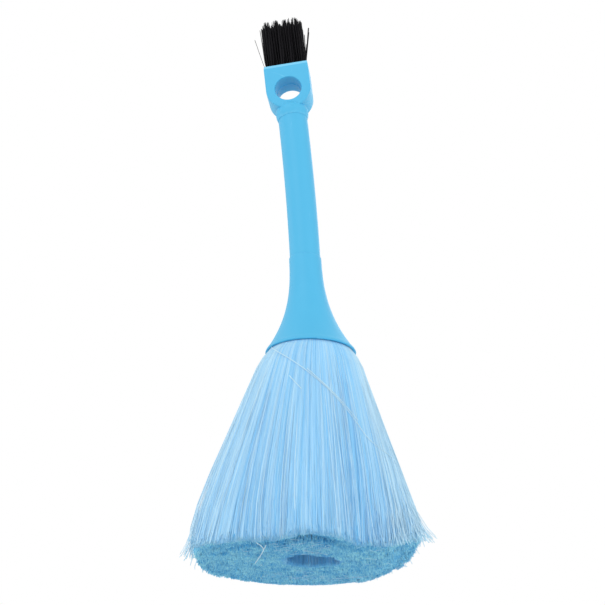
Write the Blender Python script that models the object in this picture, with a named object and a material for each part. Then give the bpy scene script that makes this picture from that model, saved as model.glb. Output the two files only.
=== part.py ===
"""A mini duster: a tube handle with a flared bell of soft bristles below and a small black brush above.

Metres, +Z up. The skirt of bristles stands on Z = 0, centred on the origin. The bell's rim is level,
and above it the bell's neck leans a little towards -X. The tube bows gently the same way up to the head.
"""

import bpy
import bmesh
from math import asin, cos, pi, radians, sin, tan
from mathutils import Matrix, Vector

# Clearances shared by all pieces
FIT_GAP = 0.00025           # between pieces that touch on the real object
SLICE_GAP = 0.0003          # between neighbouring slices of the skirt's backing
OVERRUN = 0.001             # how far a cutter passes the faces that it opens
MERGE = 0.000001            # points closer than this are one point

# Handle
LEAN = radians(3.2)         # from upright, towards -X, between the bell's rim and its lip
TUBE_DIAMETER = 0.0117
TUBE_WALL = 0.0009
TUBE_EXPOSED = 0.0624       # tube seen between the bell's lip and the head's collar
BOW_RADIUS = 1.155          # of the gentle bow of the exposed tube towards -X
BOW_STEPS = 6
TUBE_RADIUS = TUBE_DIAMETER / 2
BOW_TURN = TUBE_EXPOSED / BOW_RADIUS    # how much more the head leans than the bell

# Bell
SKIRT_HEIGHT = 0.0775       # floor to the bell's rim
BELL_LENGTH = 0.0388        # height of the lip above the rim
BELL_RIM_DIAMETER = 0.0338
BELL_WALL = 0.0012
BELL_LIP_WALL = 0.0003
BELL_SOCKET_DEPTH = 0.014
THROAT_LENGTH = 0.003
THROAT_RADIUS = 0.0044
RIM_ROUND = 0.0004
FLARE_POWER = 2.55          # how suddenly the bell opens towards its rim
FLARE_STEPS = 9
FLARE_CROWDING = 1.3        # above 1, the steps lie closer together towards the rim
SOCKET_RADIUS = TUBE_RADIUS + FIT_GAP
LIP_RADIUS = SOCKET_RADIUS + BELL_LIP_WALL
BELL_RIM_RADIUS = BELL_RIM_DIAMETER / 2
SOCKET_FLOOR = BELL_LENGTH - BELL_SOCKET_DEPTH
THROAT_FLOOR = SOCKET_FLOOR - THROAT_LENGTH
LIP_HEIGHT = BELL_LENGTH / cos(LEAN)    # rim to lip, along the leaning handle

# Backing that holds the skirt inside the bell
BACKING_SETBACK = 0.003     # rim to the backing's lower face
BACKING_DEPTH = 0.006
CORE_RADIUS = 0.004
BACKING_TOP = BACKING_SETBACK + BACKING_DEPTH

# Skirt of bristles, ring by ring from the outside in
HANK_COUNT = 12
STRANDS_IN_RING = (7, 6, 5, 4, 2)
FOOT_RADIUS_OUTER = 0.0434
FOOT_RADIUS_INNER = 0.0170
ROOT_MARGIN = 0.0007        # outermost roots to the rim of the backing
CORE_MARGIN = 0.0010        # innermost roots to the core
ROOT_SINK = 0.001           # length of a strand inside its backing
STRAND_ROOT_RADIUS = 0.0003
FOOT_STEP = 0.0008          # each ring inwards ends this much higher
FOOT_RAGGED = 0.0012        # uneven cut of the inner rings
STRAND_FILL_SHARE = 0.42    # a strand's radius at its foot, as a share of the strands' spacing
SWAY_SHARE = 0.16           # sideways wave of a strand, as a share of the spacing
FOOT_RINGS_ON_FLOOR = 2
# Shares of a strand's drop below the rim, and of its spread there, for the outer, second and other rings
DROP_SHARES = ((0.08, 0.42), (0.05, 0.30), (0.10,))
SPREAD_SHARES = ((0.16, 0.48), (0.09, 0.37), (0.12,))
WAVE_TURN = radians(137.5)  # from one strand's waver to the next one's

# Head
BLOCK_WIDTH = 0.0182
BLOCK_THICKNESS = 0.0110
BLOCK_TOP = 0.0243          # above the collar's rim
BLOCK_ROUND = 0.0005
BLOCK_ARC_STEPS = 18
HOLE_DROP = 0.0121          # block's top to the hanging hole's centre
HOLE_DIAMETER = 0.0103      # inside its rounded mouths
HOLE_DRAFT = 0.0002         # the hole narrows by this much to its middle
HOLE_ROUND = 0.0004
COLLAR_WALL = 0.00057
COLLAR_LENGTH = 0.0032      # rim to the start of its domed top
COLLAR_DOME_HEIGHT = 0.0046
COLLAR_DOME_STEPS = 6
COLLAR_CHAMFER = 0.0003
HEAD_SOCKET_DEPTH = 0.0042
SPIGOT_LENGTH = 0.013       # socket's floor to the spigot's tip, inside the tube
SPIGOT_ROOT = 0.0003        # length of the spigot that is sunk in the head
SPIGOT_CHAMFER = 0.0008
COLLAR_RADIUS = SOCKET_RADIUS + COLLAR_WALL
SPIGOT_RADIUS = TUBE_RADIUS - TUBE_WALL - FIT_GAP
HOLE_HEIGHT = BLOCK_TOP - HOLE_DROP
COLLAR_RIM_HEIGHT = LIP_HEIGHT + TUBE_EXPOSED

# Black tufts
TUFT_COLUMNS = 4
TUFT_ROWS = 2
TUFT_PITCH_X = 0.0042
TUFT_PITCH_Y = 0.0042
TUFT_HOLE_DIAMETER = 0.0036
TUFT_HOLE_DEPTH = 0.0042
TUFT_LENGTH = 0.0240        # above the block, at its longest
TUFT_RAGGED = 0.0030        # the shortest strand ends this much lower
TUFT_GRID = 3               # strands along each side of a tuft
TUFT_ROOT_SETBACK = 0.0004  # top of a tuft's bound root below the block's top
TUFT_STRAND_RADIUS = 0.00030
TUFT_STRAND_KNEE_RADIUS = 0.00058
TUFT_STRAND_TIP_RADIUS = 0.00046
TUFT_KNEE_SHARE = 0.22      # where the strands stop spreading, as a share of their length
TUFT_ROOT_PITCH_SHARE = 0.54    # spacing of the strands in a root, as a share of its radius
TUFT_COLUMN_SHARES = (0.985, 0.99, 0.97, 1.0)
TUFT_HOLE_RADIUS = TUFT_HOLE_DIAMETER / 2
TUFT_ROOT_RADIUS = TUFT_HOLE_RADIUS - FIT_GAP

# Flat wire anchors that pin the tufts
ANCHOR_THICKNESS = 0.0004
ANCHOR_HEIGHT = 0.0015
ANCHOR_RISE = 0.0012        # hole's floor to the anchor's lower edge

# Facets round the turned pieces
BELL_FACETS = 48
TUBE_FACETS = 32
SMALL_FACETS = 8
HOLE_FACETS = 32
SLICE_FACETS = 3
SHARP_ANGLE = radians(35)


def clear_scene():
    for thing in list(bpy.data.objects):
        bpy.data.objects.remove(thing, do_unlink=True)


def plain_material(name, colour, roughness, metallic=0.0):
    material = bpy.data.materials.new(name)
    material.use_nodes = True
    shader = material.node_tree.nodes["Principled BSDF"]
    shader.inputs["Base Color"].default_value = (*colour, 1.0)
    shader.inputs["Roughness"].default_value = roughness
    shader.inputs["Metallic"].default_value = metallic
    material.diffuse_color = (*colour, 1.0)
    return material


def blue_plastic():
    return plain_material("blue_plastic", (0.120, 0.530, 0.850), 0.38)


def blue_bristle():
    return plain_material("blue_bristle", (0.340, 0.640, 0.940), 0.55)


def black_bristle():
    return plain_material("black_bristle", (0.006, 0.006, 0.008), 0.45)


def anchor_wire():
    return plain_material("anchor_wire", (0.62, 0.61, 0.58), 0.35, 1.0)


def hot_melt():
    return plain_material("hot_melt", (0.70, 0.66, 0.52), 0.50)


def add_object(name, mesh_builder, material=None, parent=None, location=(0.0, 0.0, 0.0)):
    """Make a closed mesh facing out from a bmesh, as a named object."""
    bmesh.ops.remove_doubles(mesh_builder, verts=mesh_builder.verts, dist=MERGE)
    bmesh.ops.recalc_face_normals(mesh_builder, faces=mesh_builder.faces)
    mesh = bpy.data.meshes.new(name)
    mesh_builder.to_mesh(mesh)
    mesh_builder.free()
    if material:
        mesh.materials.append(material)
    mesh.shade_smooth()
    mesh.set_sharp_from_angle(angle=SHARP_ANGLE)
    thing = bpy.data.objects.new(name, mesh)
    bpy.context.scene.collection.objects.link(thing)
    thing.parent = parent
    thing.location = location
    return thing


def add_empty(name, parent=None, location=(0.0, 0.0, 0.0), rotation=(0.0, 0.0, 0.0)):
    empty = bpy.data.objects.new(name, None)
    bpy.context.scene.collection.objects.link(empty)
    empty.parent = parent
    empty.location = location
    empty.rotation_euler = rotation
    return empty


def join_shape(target, operand, operation):
    """Cut a hidden helper shape from the target, or unite the two."""
    operand.hide_render = True
    operand.display_type = "WIRE"
    modifier = target.modifiers.new(operand.name, "BOOLEAN")
    modifier.operation = operation
    modifier.solver = "EXACT"
    modifier.object = operand


def turned(profile, facets, closed=False):
    """Turn (radius, height) points about Z. An open profile starts and ends on the axis."""
    shape = bmesh.new()
    points = [shape.verts.new((radius, 0.0, height)) for radius, height in profile]
    edges = [shape.edges.new(pair) for pair in zip(points, points[1:])]
    if closed:
        edges.append(shape.edges.new((points[-1], points[0])))
    bmesh.ops.spin(shape, geom=points + edges, cent=(0.0, 0.0, 0.0), axis=(0.0, 0.0, 1.0),
                   angle=2 * pi, steps=facets, use_merge=True)
    bmesh.ops.remove_doubles(shape, verts=shape.verts, dist=MERGE)
    return shape


def lean_above_rim(shape):
    """Lean what lies above the bell's rim, and leave the rim and all below it level."""
    for point in shape.verts:
        point.co.x -= tan(LEAN) * max(point.co.z, 0.0)


def flare_radius(height):
    """Outer radius of the bell at a height above its rim."""
    share = 1 - height / BELL_LENGTH
    return LIP_RADIUS + (BELL_RIM_RADIUS - LIP_RADIUS) * share ** FLARE_POWER


def cavity_radius(height):
    return flare_radius(height) - BELL_WALL


def flare_heights(top):
    """Heights from the rim to the top, closer together where the bell turns fastest."""
    return [top * (step / FLARE_STEPS) ** FLARE_CROWDING for step in range(FLARE_STEPS + 1)]


def make_bell(material):
    outer = [(flare_radius(height), height) for height in flare_heights(BELL_LENGTH)]
    inner = [(cavity_radius(height), height) for height in flare_heights(THROAT_FLOOR)]
    rim_centre = (BELL_RIM_RADIUS - BELL_WALL / 2, -RIM_ROUND)
    neck = [(SOCKET_RADIUS, BELL_LENGTH), (SOCKET_RADIUS, SOCKET_FLOOR),
            (THROAT_RADIUS, SOCKET_FLOOR), (THROAT_RADIUS, THROAT_FLOOR)]
    shape = turned(outer + neck + inner[::-1] + [rim_centre], BELL_FACETS, closed=True)
    lean_above_rim(shape)
    return add_object("bell", shape, material, location=(0.0, 0.0, SKIRT_HEIGHT))


def make_glue_core(material):
    """Hot melt in the bell's throat, with a stem down the middle of the backing's slices."""
    shoulder = BACKING_TOP + FIT_GAP
    top = THROAT_FLOOR - FIT_GAP
    wall = [(cavity_radius(height) - FIT_GAP, height)
            for height in (shoulder, (shoulder + top) / 2, top)]
    stem = [(0.0, BACKING_SETBACK), (CORE_RADIUS, BACKING_SETBACK), (CORE_RADIUS, shoulder)]
    shape = turned(stem + wall + [(0.0, top)], TUBE_FACETS)
    lean_above_rim(shape)
    return add_object("glue_core", shape, material, location=(0.0, 0.0, SKIRT_HEIGHT))


def slice_shape(middle_angle):
    """One slice of the skirt's backing: a sector of a ring whose outside follows the bell."""
    inner = CORE_RADIUS + FIT_GAP
    heights = (BACKING_SETBACK, (BACKING_SETBACK + BACKING_TOP) / 2, BACKING_TOP)
    outline = [(inner, BACKING_SETBACK)]
    outline += [(cavity_radius(height) - FIT_GAP, height) for height in heights]
    outline += [(inner, BACKING_TOP)]
    shape = bmesh.new()
    columns = []
    for step in range(SLICE_FACETS + 1):
        turn = 2 * step / SLICE_FACETS - 1
        column = []
        for radius, height in outline:
            half_angle = pi / HANK_COUNT - asin(SLICE_GAP / 2 / radius)
            angle = middle_angle + turn * half_angle
            column.append(shape.verts.new((radius * cos(angle), radius * sin(angle), height)))
        columns.append(column)
    for left, right in zip(columns, columns[1:]):
        for index in range(len(outline)):
            after = (index + 1) % len(outline)
            shape.faces.new((left[index], left[after], right[after], right[index]))
    shape.faces.new(columns[0])
    shape.faces.new(columns[-1])
    return shape


def add_strand(shape, centres, radii, facing):
    """Loft a three-sided strand through level triangles, one flat side facing outwards."""
    rings = []
    for (x, y, z), radius in zip(centres, radii):
        corners = [facing + pi / 3 + 2 * pi * corner / 3 for corner in range(3)]
        ring = [shape.verts.new((x + radius * cos(turn), y + radius * sin(turn), z)) for turn in corners]
        rings.append(ring)
    for lower, upper in zip(rings, rings[1:]):
        for corner in range(3):
            after = (corner + 1) % 3
            shape.faces.new((lower[corner], lower[after], upper[after], upper[corner]))
    shape.faces.new(rings[0])
    shape.faces.new(rings[-1])


def between(start, end, share):
    return start + (end - start) * share


def skirt_ring(ring):
    """Radii at the root, the rim and the foot, and the path's shares, of one ring of strands."""
    share = ring / (len(STRANDS_IN_RING) - 1)
    root_outer = cavity_radius(BACKING_SETBACK) - FIT_GAP - ROOT_MARGIN
    root = between(root_outer, CORE_RADIUS + FIT_GAP + CORE_MARGIN, share)
    exit_outer = BELL_RIM_RADIUS - BELL_WALL - FIT_GAP - STRAND_ROOT_RADIUS
    exit_radius = exit_outer * root / root_outer
    foot = between(FOOT_RADIUS_OUTER, FOOT_RADIUS_INNER, share)
    table = min(ring, len(DROP_SHARES) - 1)
    return root, exit_radius, foot, DROP_SHARES[table], SPREAD_SHARES[table]


def strand_path(ring, index, angle):
    """Centres and radii of one skirt strand, from inside its backing down to the floor."""
    root, exit_radius, foot, drops, spreads = skirt_ring(ring)
    phase = WAVE_TURN * (index + ring / 2)
    lift = 0.0
    if ring >= FOOT_RINGS_ON_FLOOR:
        lift = ring * FOOT_STEP + FOOT_RAGGED * sin(phase) ** 2
    floor = lift - SKIRT_HEIGHT
    spacing = 2 * pi / (HANK_COUNT * STRANDS_IN_RING[ring])
    slope = (exit_radius - root) / BACKING_SETBACK
    stations = [(root - slope * ROOT_SINK, BACKING_SETBACK + ROOT_SINK, 0.0, STRAND_ROOT_RADIUS)]
    if ring == 0:
        stations.append((exit_radius, 0.0, 0.0, STRAND_ROOT_RADIUS))
    foot_thickness = STRAND_FILL_SHARE * spacing * foot
    for drop, spread in zip((*drops, 1.0), (*spreads, 1.0)):
        sway = SWAY_SHARE * spacing * sin(pi * drop) * sin(phase)
        thickness = between(STRAND_ROOT_RADIUS, foot_thickness, spread)
        stations.append((between(exit_radius, foot, spread), floor * drop, sway, thickness))
    centres = [(radius * cos(angle + sway), radius * sin(angle + sway), height)
               for radius, height, sway, thickness in stations]
    return centres, [thickness for radius, height, sway, thickness in stations]


def make_hank(number, material):
    """A slice of the backing with the strands that grow out of it."""
    middle = 2 * pi * number / HANK_COUNT
    backing = slice_shape(middle)
    lean_above_rim(backing)
    strands = bmesh.new()
    for ring, count in enumerate(STRANDS_IN_RING):
        for place in range(count):
            angle = middle + 2 * pi / HANK_COUNT * ((place + 0.5) / count - 0.5)
            centres, radii = strand_path(ring, number * count + place, angle)
            add_strand(strands, centres, radii, angle)
    lean_above_rim(strands)
    rim_height = (0.0, 0.0, SKIRT_HEIGHT)
    hank = add_object(f"skirt_hank_{number + 1:02d}", backing, material, location=rim_height)
    grown = add_object(f"skirt_strands_{number + 1:02d}", strands, material, location=rim_height)
    join_shape(hank, grown, "UNION")
    return hank


def bowed(height):
    """The move that bows the handle, for points at this height along the straight handle."""
    along = min(max(height - LIP_HEIGHT, 0.0), TUBE_EXPOSED)
    unbent = Matrix.Translation((BOW_RADIUS, 0.0, -LIP_HEIGHT - along))
    turn = Matrix.Rotation(-along / BOW_RADIUS, 4, "Y")
    return Matrix.Translation((-BOW_RADIUS, 0.0, LIP_HEIGHT)) @ turn @ unbent


def make_tube(material, handle):
    """The tube leans, so the low side of its end is what meets the bell's level ledge."""
    bottom = (SOCKET_FLOOR + FIT_GAP) / cos(LEAN) + TUBE_RADIUS * tan(LEAN)
    top = COLLAR_RIM_HEIGHT + HEAD_SOCKET_DEPTH - FIT_GAP
    bow = [between(LIP_HEIGHT, COLLAR_RIM_HEIGHT, step / BOW_STEPS) for step in range(BOW_STEPS + 1)]
    heights = [bottom, *bow, top]
    outside = [(TUBE_RADIUS, height) for height in heights]
    bore = [(TUBE_RADIUS - TUBE_WALL, height) for height in heights[::-1]]
    shape = turned(outside + bore, TUBE_FACETS, closed=True)
    for point in shape.verts:
        point.co = bowed(point.co.z) @ point.co
    return add_object("handle_tube", shape, material, handle)


def block_shape():
    """The head's flat block: square above, and round below about the hanging hole."""
    half = BLOCK_WIDTH / 2
    outline = [(half, BLOCK_TOP), (-half, BLOCK_TOP)]
    for step in range(BLOCK_ARC_STEPS + 1):
        angle = pi + pi * step / BLOCK_ARC_STEPS
        outline.append((half * cos(angle), HOLE_HEIGHT + half * sin(angle)))
    shape = bmesh.new()
    points = [shape.verts.new((x, -BLOCK_THICKNESS / 2, z)) for x, z in outline]
    front = shape.faces.new(points)
    grown = bmesh.ops.extrude_face_region(shape, geom=[front])
    back = [item for item in grown["geom"] if isinstance(item, bmesh.types.BMVert)]
    bmesh.ops.translate(shape, verts=back, vec=(0.0, BLOCK_THICKNESS, 0.0))
    return shape


def collar_shape():
    """The collar's outside, with a domed top that runs into the block."""
    profile = [(0.0, 0.0), (COLLAR_RADIUS - COLLAR_CHAMFER, 0.0), (COLLAR_RADIUS, COLLAR_CHAMFER)]
    for step in range(COLLAR_DOME_STEPS + 1):
        angle = pi / 2 * step / COLLAR_DOME_STEPS
        radius = COLLAR_RADIUS * cos(angle) if step < COLLAR_DOME_STEPS else 0.0
        profile.append((radius, COLLAR_LENGTH + COLLAR_DOME_HEIGHT * sin(angle)))
    return turned(profile, TUBE_FACETS)


def socket_shape():
    return turned([(0.0, -OVERRUN), (SOCKET_RADIUS, -OVERRUN), (SOCKET_RADIUS, HEAD_SOCKET_DEPTH),
                   (0.0, HEAD_SOCKET_DEPTH)], TUBE_FACETS)


def spigot_shape():
    """The peg inside the tube, rooted in the socket's floor."""
    tip = HEAD_SOCKET_DEPTH - SPIGOT_LENGTH
    root = HEAD_SOCKET_DEPTH + SPIGOT_ROOT
    return turned([(0.0, tip), (SPIGOT_RADIUS - SPIGOT_CHAMFER, tip),
                   (SPIGOT_RADIUS, tip + SPIGOT_CHAMFER), (SPIGOT_RADIUS, root), (0.0, root)],
                  TUBE_FACETS)


def hanging_hole_shape():
    """The hanging hole: drafted from both faces to a fine ridge, with rounded mouths."""
    half = BLOCK_THICKNESS / 2
    radius = HOLE_DIAMETER / 2
    mouth = radius + HOLE_ROUND + OVERRUN
    profile = [(0.0, -half - OVERRUN), (mouth, -half - OVERRUN), (radius, -half + HOLE_ROUND),
               (radius - HOLE_DRAFT, 0.0), (radius, half - HOLE_ROUND),
               (mouth, half + OVERRUN), (0.0, half + OVERRUN)]
    shape = turned(profile, HOLE_FACETS)
    shape.transform(Matrix.Rotation(pi / 2, 4, "X"))
    return shape


def tuft_places():
    """Column, row and centre of each tuft on the block's top."""
    for row in range(TUFT_ROWS):
        for column in range(TUFT_COLUMNS):
            x = (column - (TUFT_COLUMNS - 1) / 2) * TUFT_PITCH_X
            y = (row - (TUFT_ROWS - 1) / 2) * TUFT_PITCH_Y
            yield column, row, x, y


def tuft_holes_shape():
    """Blind holes that hold the tufts' roots, as one cutter."""
    shape = bmesh.new()
    length = TUFT_HOLE_DEPTH + OVERRUN
    middle = BLOCK_TOP + OVERRUN - length / 2
    for column, row, x, y in tuft_places():
        bmesh.ops.create_cone(shape, cap_ends=True, segments=SMALL_FACETS, depth=length,
                              radius1=TUFT_HOLE_RADIUS, radius2=TUFT_HOLE_RADIUS,
                              matrix=Matrix.Translation((x, y, middle)))
    return shape


def make_head(material, head):
    block = add_object("head_block", block_shape(), material, head)
    rounding = block.modifiers.new("edge_round", "BEVEL")
    rounding.width = BLOCK_ROUND
    rounding.segments = 2
    rounding.limit_method = "ANGLE"
    rounding.angle_limit = SHARP_ANGLE
    join_shape(block, add_object("collar_helper", collar_shape(), parent=head), "UNION")
    hole = add_object("hanging_hole_cutter", hanging_hole_shape(), parent=head,
                      location=(0.0, 0.0, HOLE_HEIGHT))
    join_shape(block, hole, "DIFFERENCE")
    join_shape(block, add_object("tuft_hole_cutter", tuft_holes_shape(), parent=head), "DIFFERENCE")
    join_shape(block, add_object("socket_cutter", socket_shape(), parent=head), "DIFFERENCE")
    join_shape(block, add_object("spigot_helper", spigot_shape(), parent=head), "UNION")
    return block


def tuft_strands_shape(column, row):
    """A tuft's strands, in a square that spreads from the root until the tufts stand side by side."""
    shape = bmesh.new()
    start = TUFT_HOLE_DEPTH - TUFT_ROOT_SETBACK - ROOT_SINK / 2
    longest = TUFT_HOLE_DEPTH + TUFT_LENGTH * TUFT_COLUMN_SHARES[column]
    root_pitch = TUFT_ROOT_RADIUS * TUFT_ROOT_PITCH_SHARE
    radii = (TUFT_STRAND_RADIUS, TUFT_STRAND_KNEE_RADIUS, TUFT_STRAND_TIP_RADIUS)
    for number in range(TUFT_GRID ** 2):
        across = number % TUFT_GRID - (TUFT_GRID - 1) / 2
        along = number // TUFT_GRID - (TUFT_GRID - 1) / 2
        ragged = sin(WAVE_TURN * (number + column + row / 2)) ** 2
        cut = TUFT_RAGGED * ragged if across or along else 0.0
        centres = []
        for share, spread in ((0.0, 0.0), (TUFT_KNEE_SHARE, 1.0), (1.0, 1.0)):
            x = across * between(root_pitch, TUFT_PITCH_X / TUFT_GRID, spread)
            y = along * between(root_pitch, TUFT_PITCH_Y / TUFT_GRID, spread)
            centres.append((x, y, between(start, longest - cut, share)))
        add_strand(shape, centres, radii, pi / 2 * number)
    return shape


def tuft_root_shape():
    """A tuft's folded and pressed root, standing on its hole's floor."""
    top = TUFT_HOLE_DEPTH - TUFT_ROOT_SETBACK
    return turned([(0.0, FIT_GAP), (TUFT_ROOT_RADIUS, FIT_GAP), (TUFT_ROOT_RADIUS, top), (0.0, top)],
                  SMALL_FACETS)


def box_shape(size_x, size_y, bottom, top):
    shape = bmesh.new()
    bmesh.ops.create_cube(shape, size=1)
    bmesh.ops.scale(shape, vec=(size_x, size_y, top - bottom), verts=shape.verts)
    bmesh.ops.translate(shape, vec=(0.0, 0.0, (bottom + top) / 2), verts=shape.verts)
    return shape


def make_tufts(bristle, wire, head):
    """Each tuft is folded round a flat wire anchor that pins it in its hole."""
    floor = BLOCK_TOP - TUFT_HOLE_DEPTH
    anchor_top = ANCHOR_RISE + ANCHOR_HEIGHT
    for number, (column, row, x, y) in enumerate(tuft_places(), start=1):
        place = (x, y, floor)
        tuft = add_object(f"tuft_{number:02d}", tuft_root_shape(), bristle, head, place)
        window = box_shape(ANCHOR_THICKNESS + 2 * FIT_GAP, TUFT_HOLE_DIAMETER,
                           ANCHOR_RISE - FIT_GAP, anchor_top + FIT_GAP)
        strands = tuft_strands_shape(column, row)
        join_shape(tuft, add_object(f"anchor_window_{number:02d}", window, parent=head,
                                    location=place), "DIFFERENCE")
        join_shape(tuft, add_object(f"tuft_strands_{number:02d}", strands, bristle, head, place), "UNION")
        anchor = box_shape(ANCHOR_THICKNESS, 2 * TUFT_ROOT_RADIUS, ANCHOR_RISE, anchor_top)
        add_object(f"tuft_anchor_{number:02d}", anchor, wire, head, place)


def main():
    clear_scene()
    plastic = blue_plastic()
    make_bell(plastic)
    make_glue_core(hot_melt())
    bristle = blue_bristle()
    for number in range(HANK_COUNT):
        make_hank(number, bristle)
    handle = add_empty("handle_axis", location=(0.0, 0.0, SKIRT_HEIGHT), rotation=(0.0, -LEAN, 0.0))
    make_tube(plastic, handle)
    collar_rim = bowed(COLLAR_RIM_HEIGHT) @ Vector((0.0, 0.0, COLLAR_RIM_HEIGHT))
    head = add_empty("head_frame", handle, collar_rim, rotation=(0.0, -BOW_TURN, 0.0))
    make_head(plastic, head)
    make_tufts(black_bristle(), anchor_wire(), head)


main()
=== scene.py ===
from math import cos, pi, radians, sin, tan

import bpy
import numpy as np
from mathutils import Matrix, Vector


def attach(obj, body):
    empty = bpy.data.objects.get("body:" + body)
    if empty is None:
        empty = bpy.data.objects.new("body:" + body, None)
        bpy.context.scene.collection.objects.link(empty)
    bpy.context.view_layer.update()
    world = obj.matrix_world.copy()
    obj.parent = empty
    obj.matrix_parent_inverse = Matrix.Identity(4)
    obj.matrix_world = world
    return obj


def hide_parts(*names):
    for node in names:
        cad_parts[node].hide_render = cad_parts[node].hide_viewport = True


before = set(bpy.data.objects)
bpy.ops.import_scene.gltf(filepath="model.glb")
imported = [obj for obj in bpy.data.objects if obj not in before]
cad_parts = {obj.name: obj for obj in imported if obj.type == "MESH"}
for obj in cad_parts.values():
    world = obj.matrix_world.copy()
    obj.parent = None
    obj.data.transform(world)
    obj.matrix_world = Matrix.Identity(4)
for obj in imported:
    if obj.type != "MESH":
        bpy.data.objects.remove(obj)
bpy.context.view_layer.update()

# Sizes in metres, as in the solids but for the hole, the collar and the seams that show. Above the
# bell's rim the bell leans to the left, and the tube bows gently the same way
LEAN = radians(3.2)
RIM_HEIGHT = 0.0775
MERGE = 1e-6
FIT_GAP = 0.00025
SEEN_GAP = 0.00003          # where a gap would show as a dark line that the real joint doesn't have

TUBE_RADIUS = 0.00585
TUBE_BORE = 0.00495
TUBE_EXPOSED = 0.0624
EDGE_ROUND = 0.00015
BOW_RADIUS = 1.155
BOW_STEPS = 8

BELL_LENGTH = 0.0388
BELL_RIM_RADIUS = 0.0169
BELL_WALL = 0.0012
BELL_LIP_RADIUS = 0.0062
BELL_SOCKET_RADIUS = TUBE_RADIUS + SEEN_GAP
BELL_SOCKET_FLOOR = 0.0248
BELL_THROAT_FLOOR = 0.0218
BELL_THROAT_RADIUS = 0.0044
BELL_FLARE_POWER = 2.55
BELL_FLARE_STEPS = 34
BELL_FLARE_CROWDING = 1.5   # above 1, the steps lie closer together towards the rim
BELL_RIM_DROP = 0.0004
BELL_RIM_STEPS = 6
BELL_BEAD = 0.00016
BELL_BEAD_HEIGHT = 0.0016
BELL_TURN_STEPS = 128
LIP_HEIGHT = BELL_LENGTH / cos(LEAN)

COLLAR_RIM_HEIGHT = LIP_HEIGHT + TUBE_EXPOSED
BLOCK_WIDTH = 0.0182
BLOCK_THICKNESS = 0.0110
BLOCK_TOP = 0.0243
BLOCK_ROUND = 0.0005
BLOCK_BAND = 0.0015         # height of the drawn-in band along the block's top
BAND_WIDTH_SHARE = 0.985
BAND_THICKNESS_SHARE = 0.95
HOLE_HEIGHT = 0.0122
HOLE_RADIUS = 0.0054
HOLE_DRAFT = 0.0001
HOLE_ROUND = 0.00025
HOLE_ROUND_DEPTH = 0.0006
HOLE_ROUND_STEPS = 8
HOLE_RIDGE = 0.00016        # parting ridge half way through the hole
HOLE_RIDGE_HALF = 0.00022
COLLAR_RADIUS = 0.00658
COLLAR_LENGTH = 0.0032
COLLAR_DOME_HEIGHT = 0.0046
COLLAR_DOME_STEPS = 18
COLLAR_TAPER = 0.00062
COLLAR_TAPER_HEIGHT = 0.0026
HEAD_SOCKET_DEPTH = 0.0042
SPIGOT_RADIUS = TUBE_BORE - FIT_GAP
SPIGOT_TIP = HEAD_SOCKET_DEPTH - 0.013
SPIGOT_ROOT = HEAD_SOCKET_DEPTH + 0.0003
SPIGOT_CHAMFER = 0.0008

TUFT_COLUMNS = 4
TUFT_ROWS = 2
TUFT_PITCH = 0.0042
TUFT_HOLE_RADIUS = 0.0018
TUFT_HOLE_DEPTH = 0.0042
TUFT_HOLE_SIDES = 32

HANK_COUNT = 12
BACKING_SETBACK = 0.003
BACKING_DEPTH = 0.006
BACKING_ROUND = 0.0003
BACKING_STEPS = 8
CORE_RADIUS = 0.004
SLICE_GAP = 0.0003

TURN_STEPS = 96
SMOOTH_ANGLE = radians(32)
BEVEL_ANGLE = radians(40)


def bowed(height):
    """The move that bows the handle, for points at this height along the straight handle."""
    along = min(max(height - LIP_HEIGHT, 0), TUBE_EXPOSED)
    unbent = Matrix.Translation((BOW_RADIUS, 0, -LIP_HEIGHT - along))
    turn = Matrix.Rotation(-along / BOW_RADIUS, 4, "Y")
    return Matrix.Translation((-BOW_RADIUS, 0, LIP_HEIGHT)) @ turn @ unbent


RIM_PLACE = Matrix.Translation((0, 0, RIM_HEIGHT))
HANDLE_PLACE = RIM_PLACE @ Matrix.Rotation(-LEAN, 4, "Y")
HEAD_PLACE = HANDLE_PLACE @ bowed(COLLAR_RIM_HEIGHT) @ Matrix.Translation((0, 0, COLLAR_RIM_HEIGHT))


# Ways of working on one piece at a time

def nothing_selected():
    bpy.ops.object.select_all(action="DESELECT")


def only(piece):
    nothing_selected()
    piece.select_set(True)
    bpy.context.view_layer.objects.active = piece


def all_points():
    bpy.ops.mesh.select_all(action="SELECT")


def place_in_mesh():
    bpy.ops.object.transform_apply(location=True, rotation=True, scale=True)


def edit_all(piece):
    only(piece)
    bpy.ops.object.mode_set(mode="EDIT")
    all_points()


def done_editing():
    bpy.ops.object.mode_set(mode="OBJECT")


def tidy_faces(piece):
    """Merge what meets and turn all the faces outwards."""
    edit_all(piece)
    bpy.ops.mesh.remove_doubles(threshold=MERGE)
    bpy.ops.mesh.normals_make_consistent(inside=False)
    done_editing()


def placed(piece, place):
    """Move a piece to its place, and keep the place in its mesh."""
    only(piece)
    piece.matrix_world = place
    place_in_mesh()


def modified(piece, kind, **values):
    """Add a modifier, set it and apply it."""
    only(piece)
    modifier = piece.modifiers.new(kind.lower(), kind)
    for name, value in values.items():
        setattr(modifier, name, value)
    bpy.ops.object.modifier_apply(modifier=modifier.name)


def rounded(piece, width, segments):
    modified(piece, "BEVEL", width=width, segments=segments, limit_method="ANGLE", angle_limit=BEVEL_ANGLE)


def combined(piece, tool, operation):
    modified(piece, "BOOLEAN", object=tool, operation=operation, solver="EXACT")
    bpy.data.objects.remove(tool)


def smoothed(piece):
    only(piece)
    bpy.ops.object.shade_smooth_by_angle(angle=SMOOTH_ANGLE)


def extruded(step):
    bpy.ops.mesh.extrude_region_move(TRANSFORM_OT_translate={"value": step})


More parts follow.
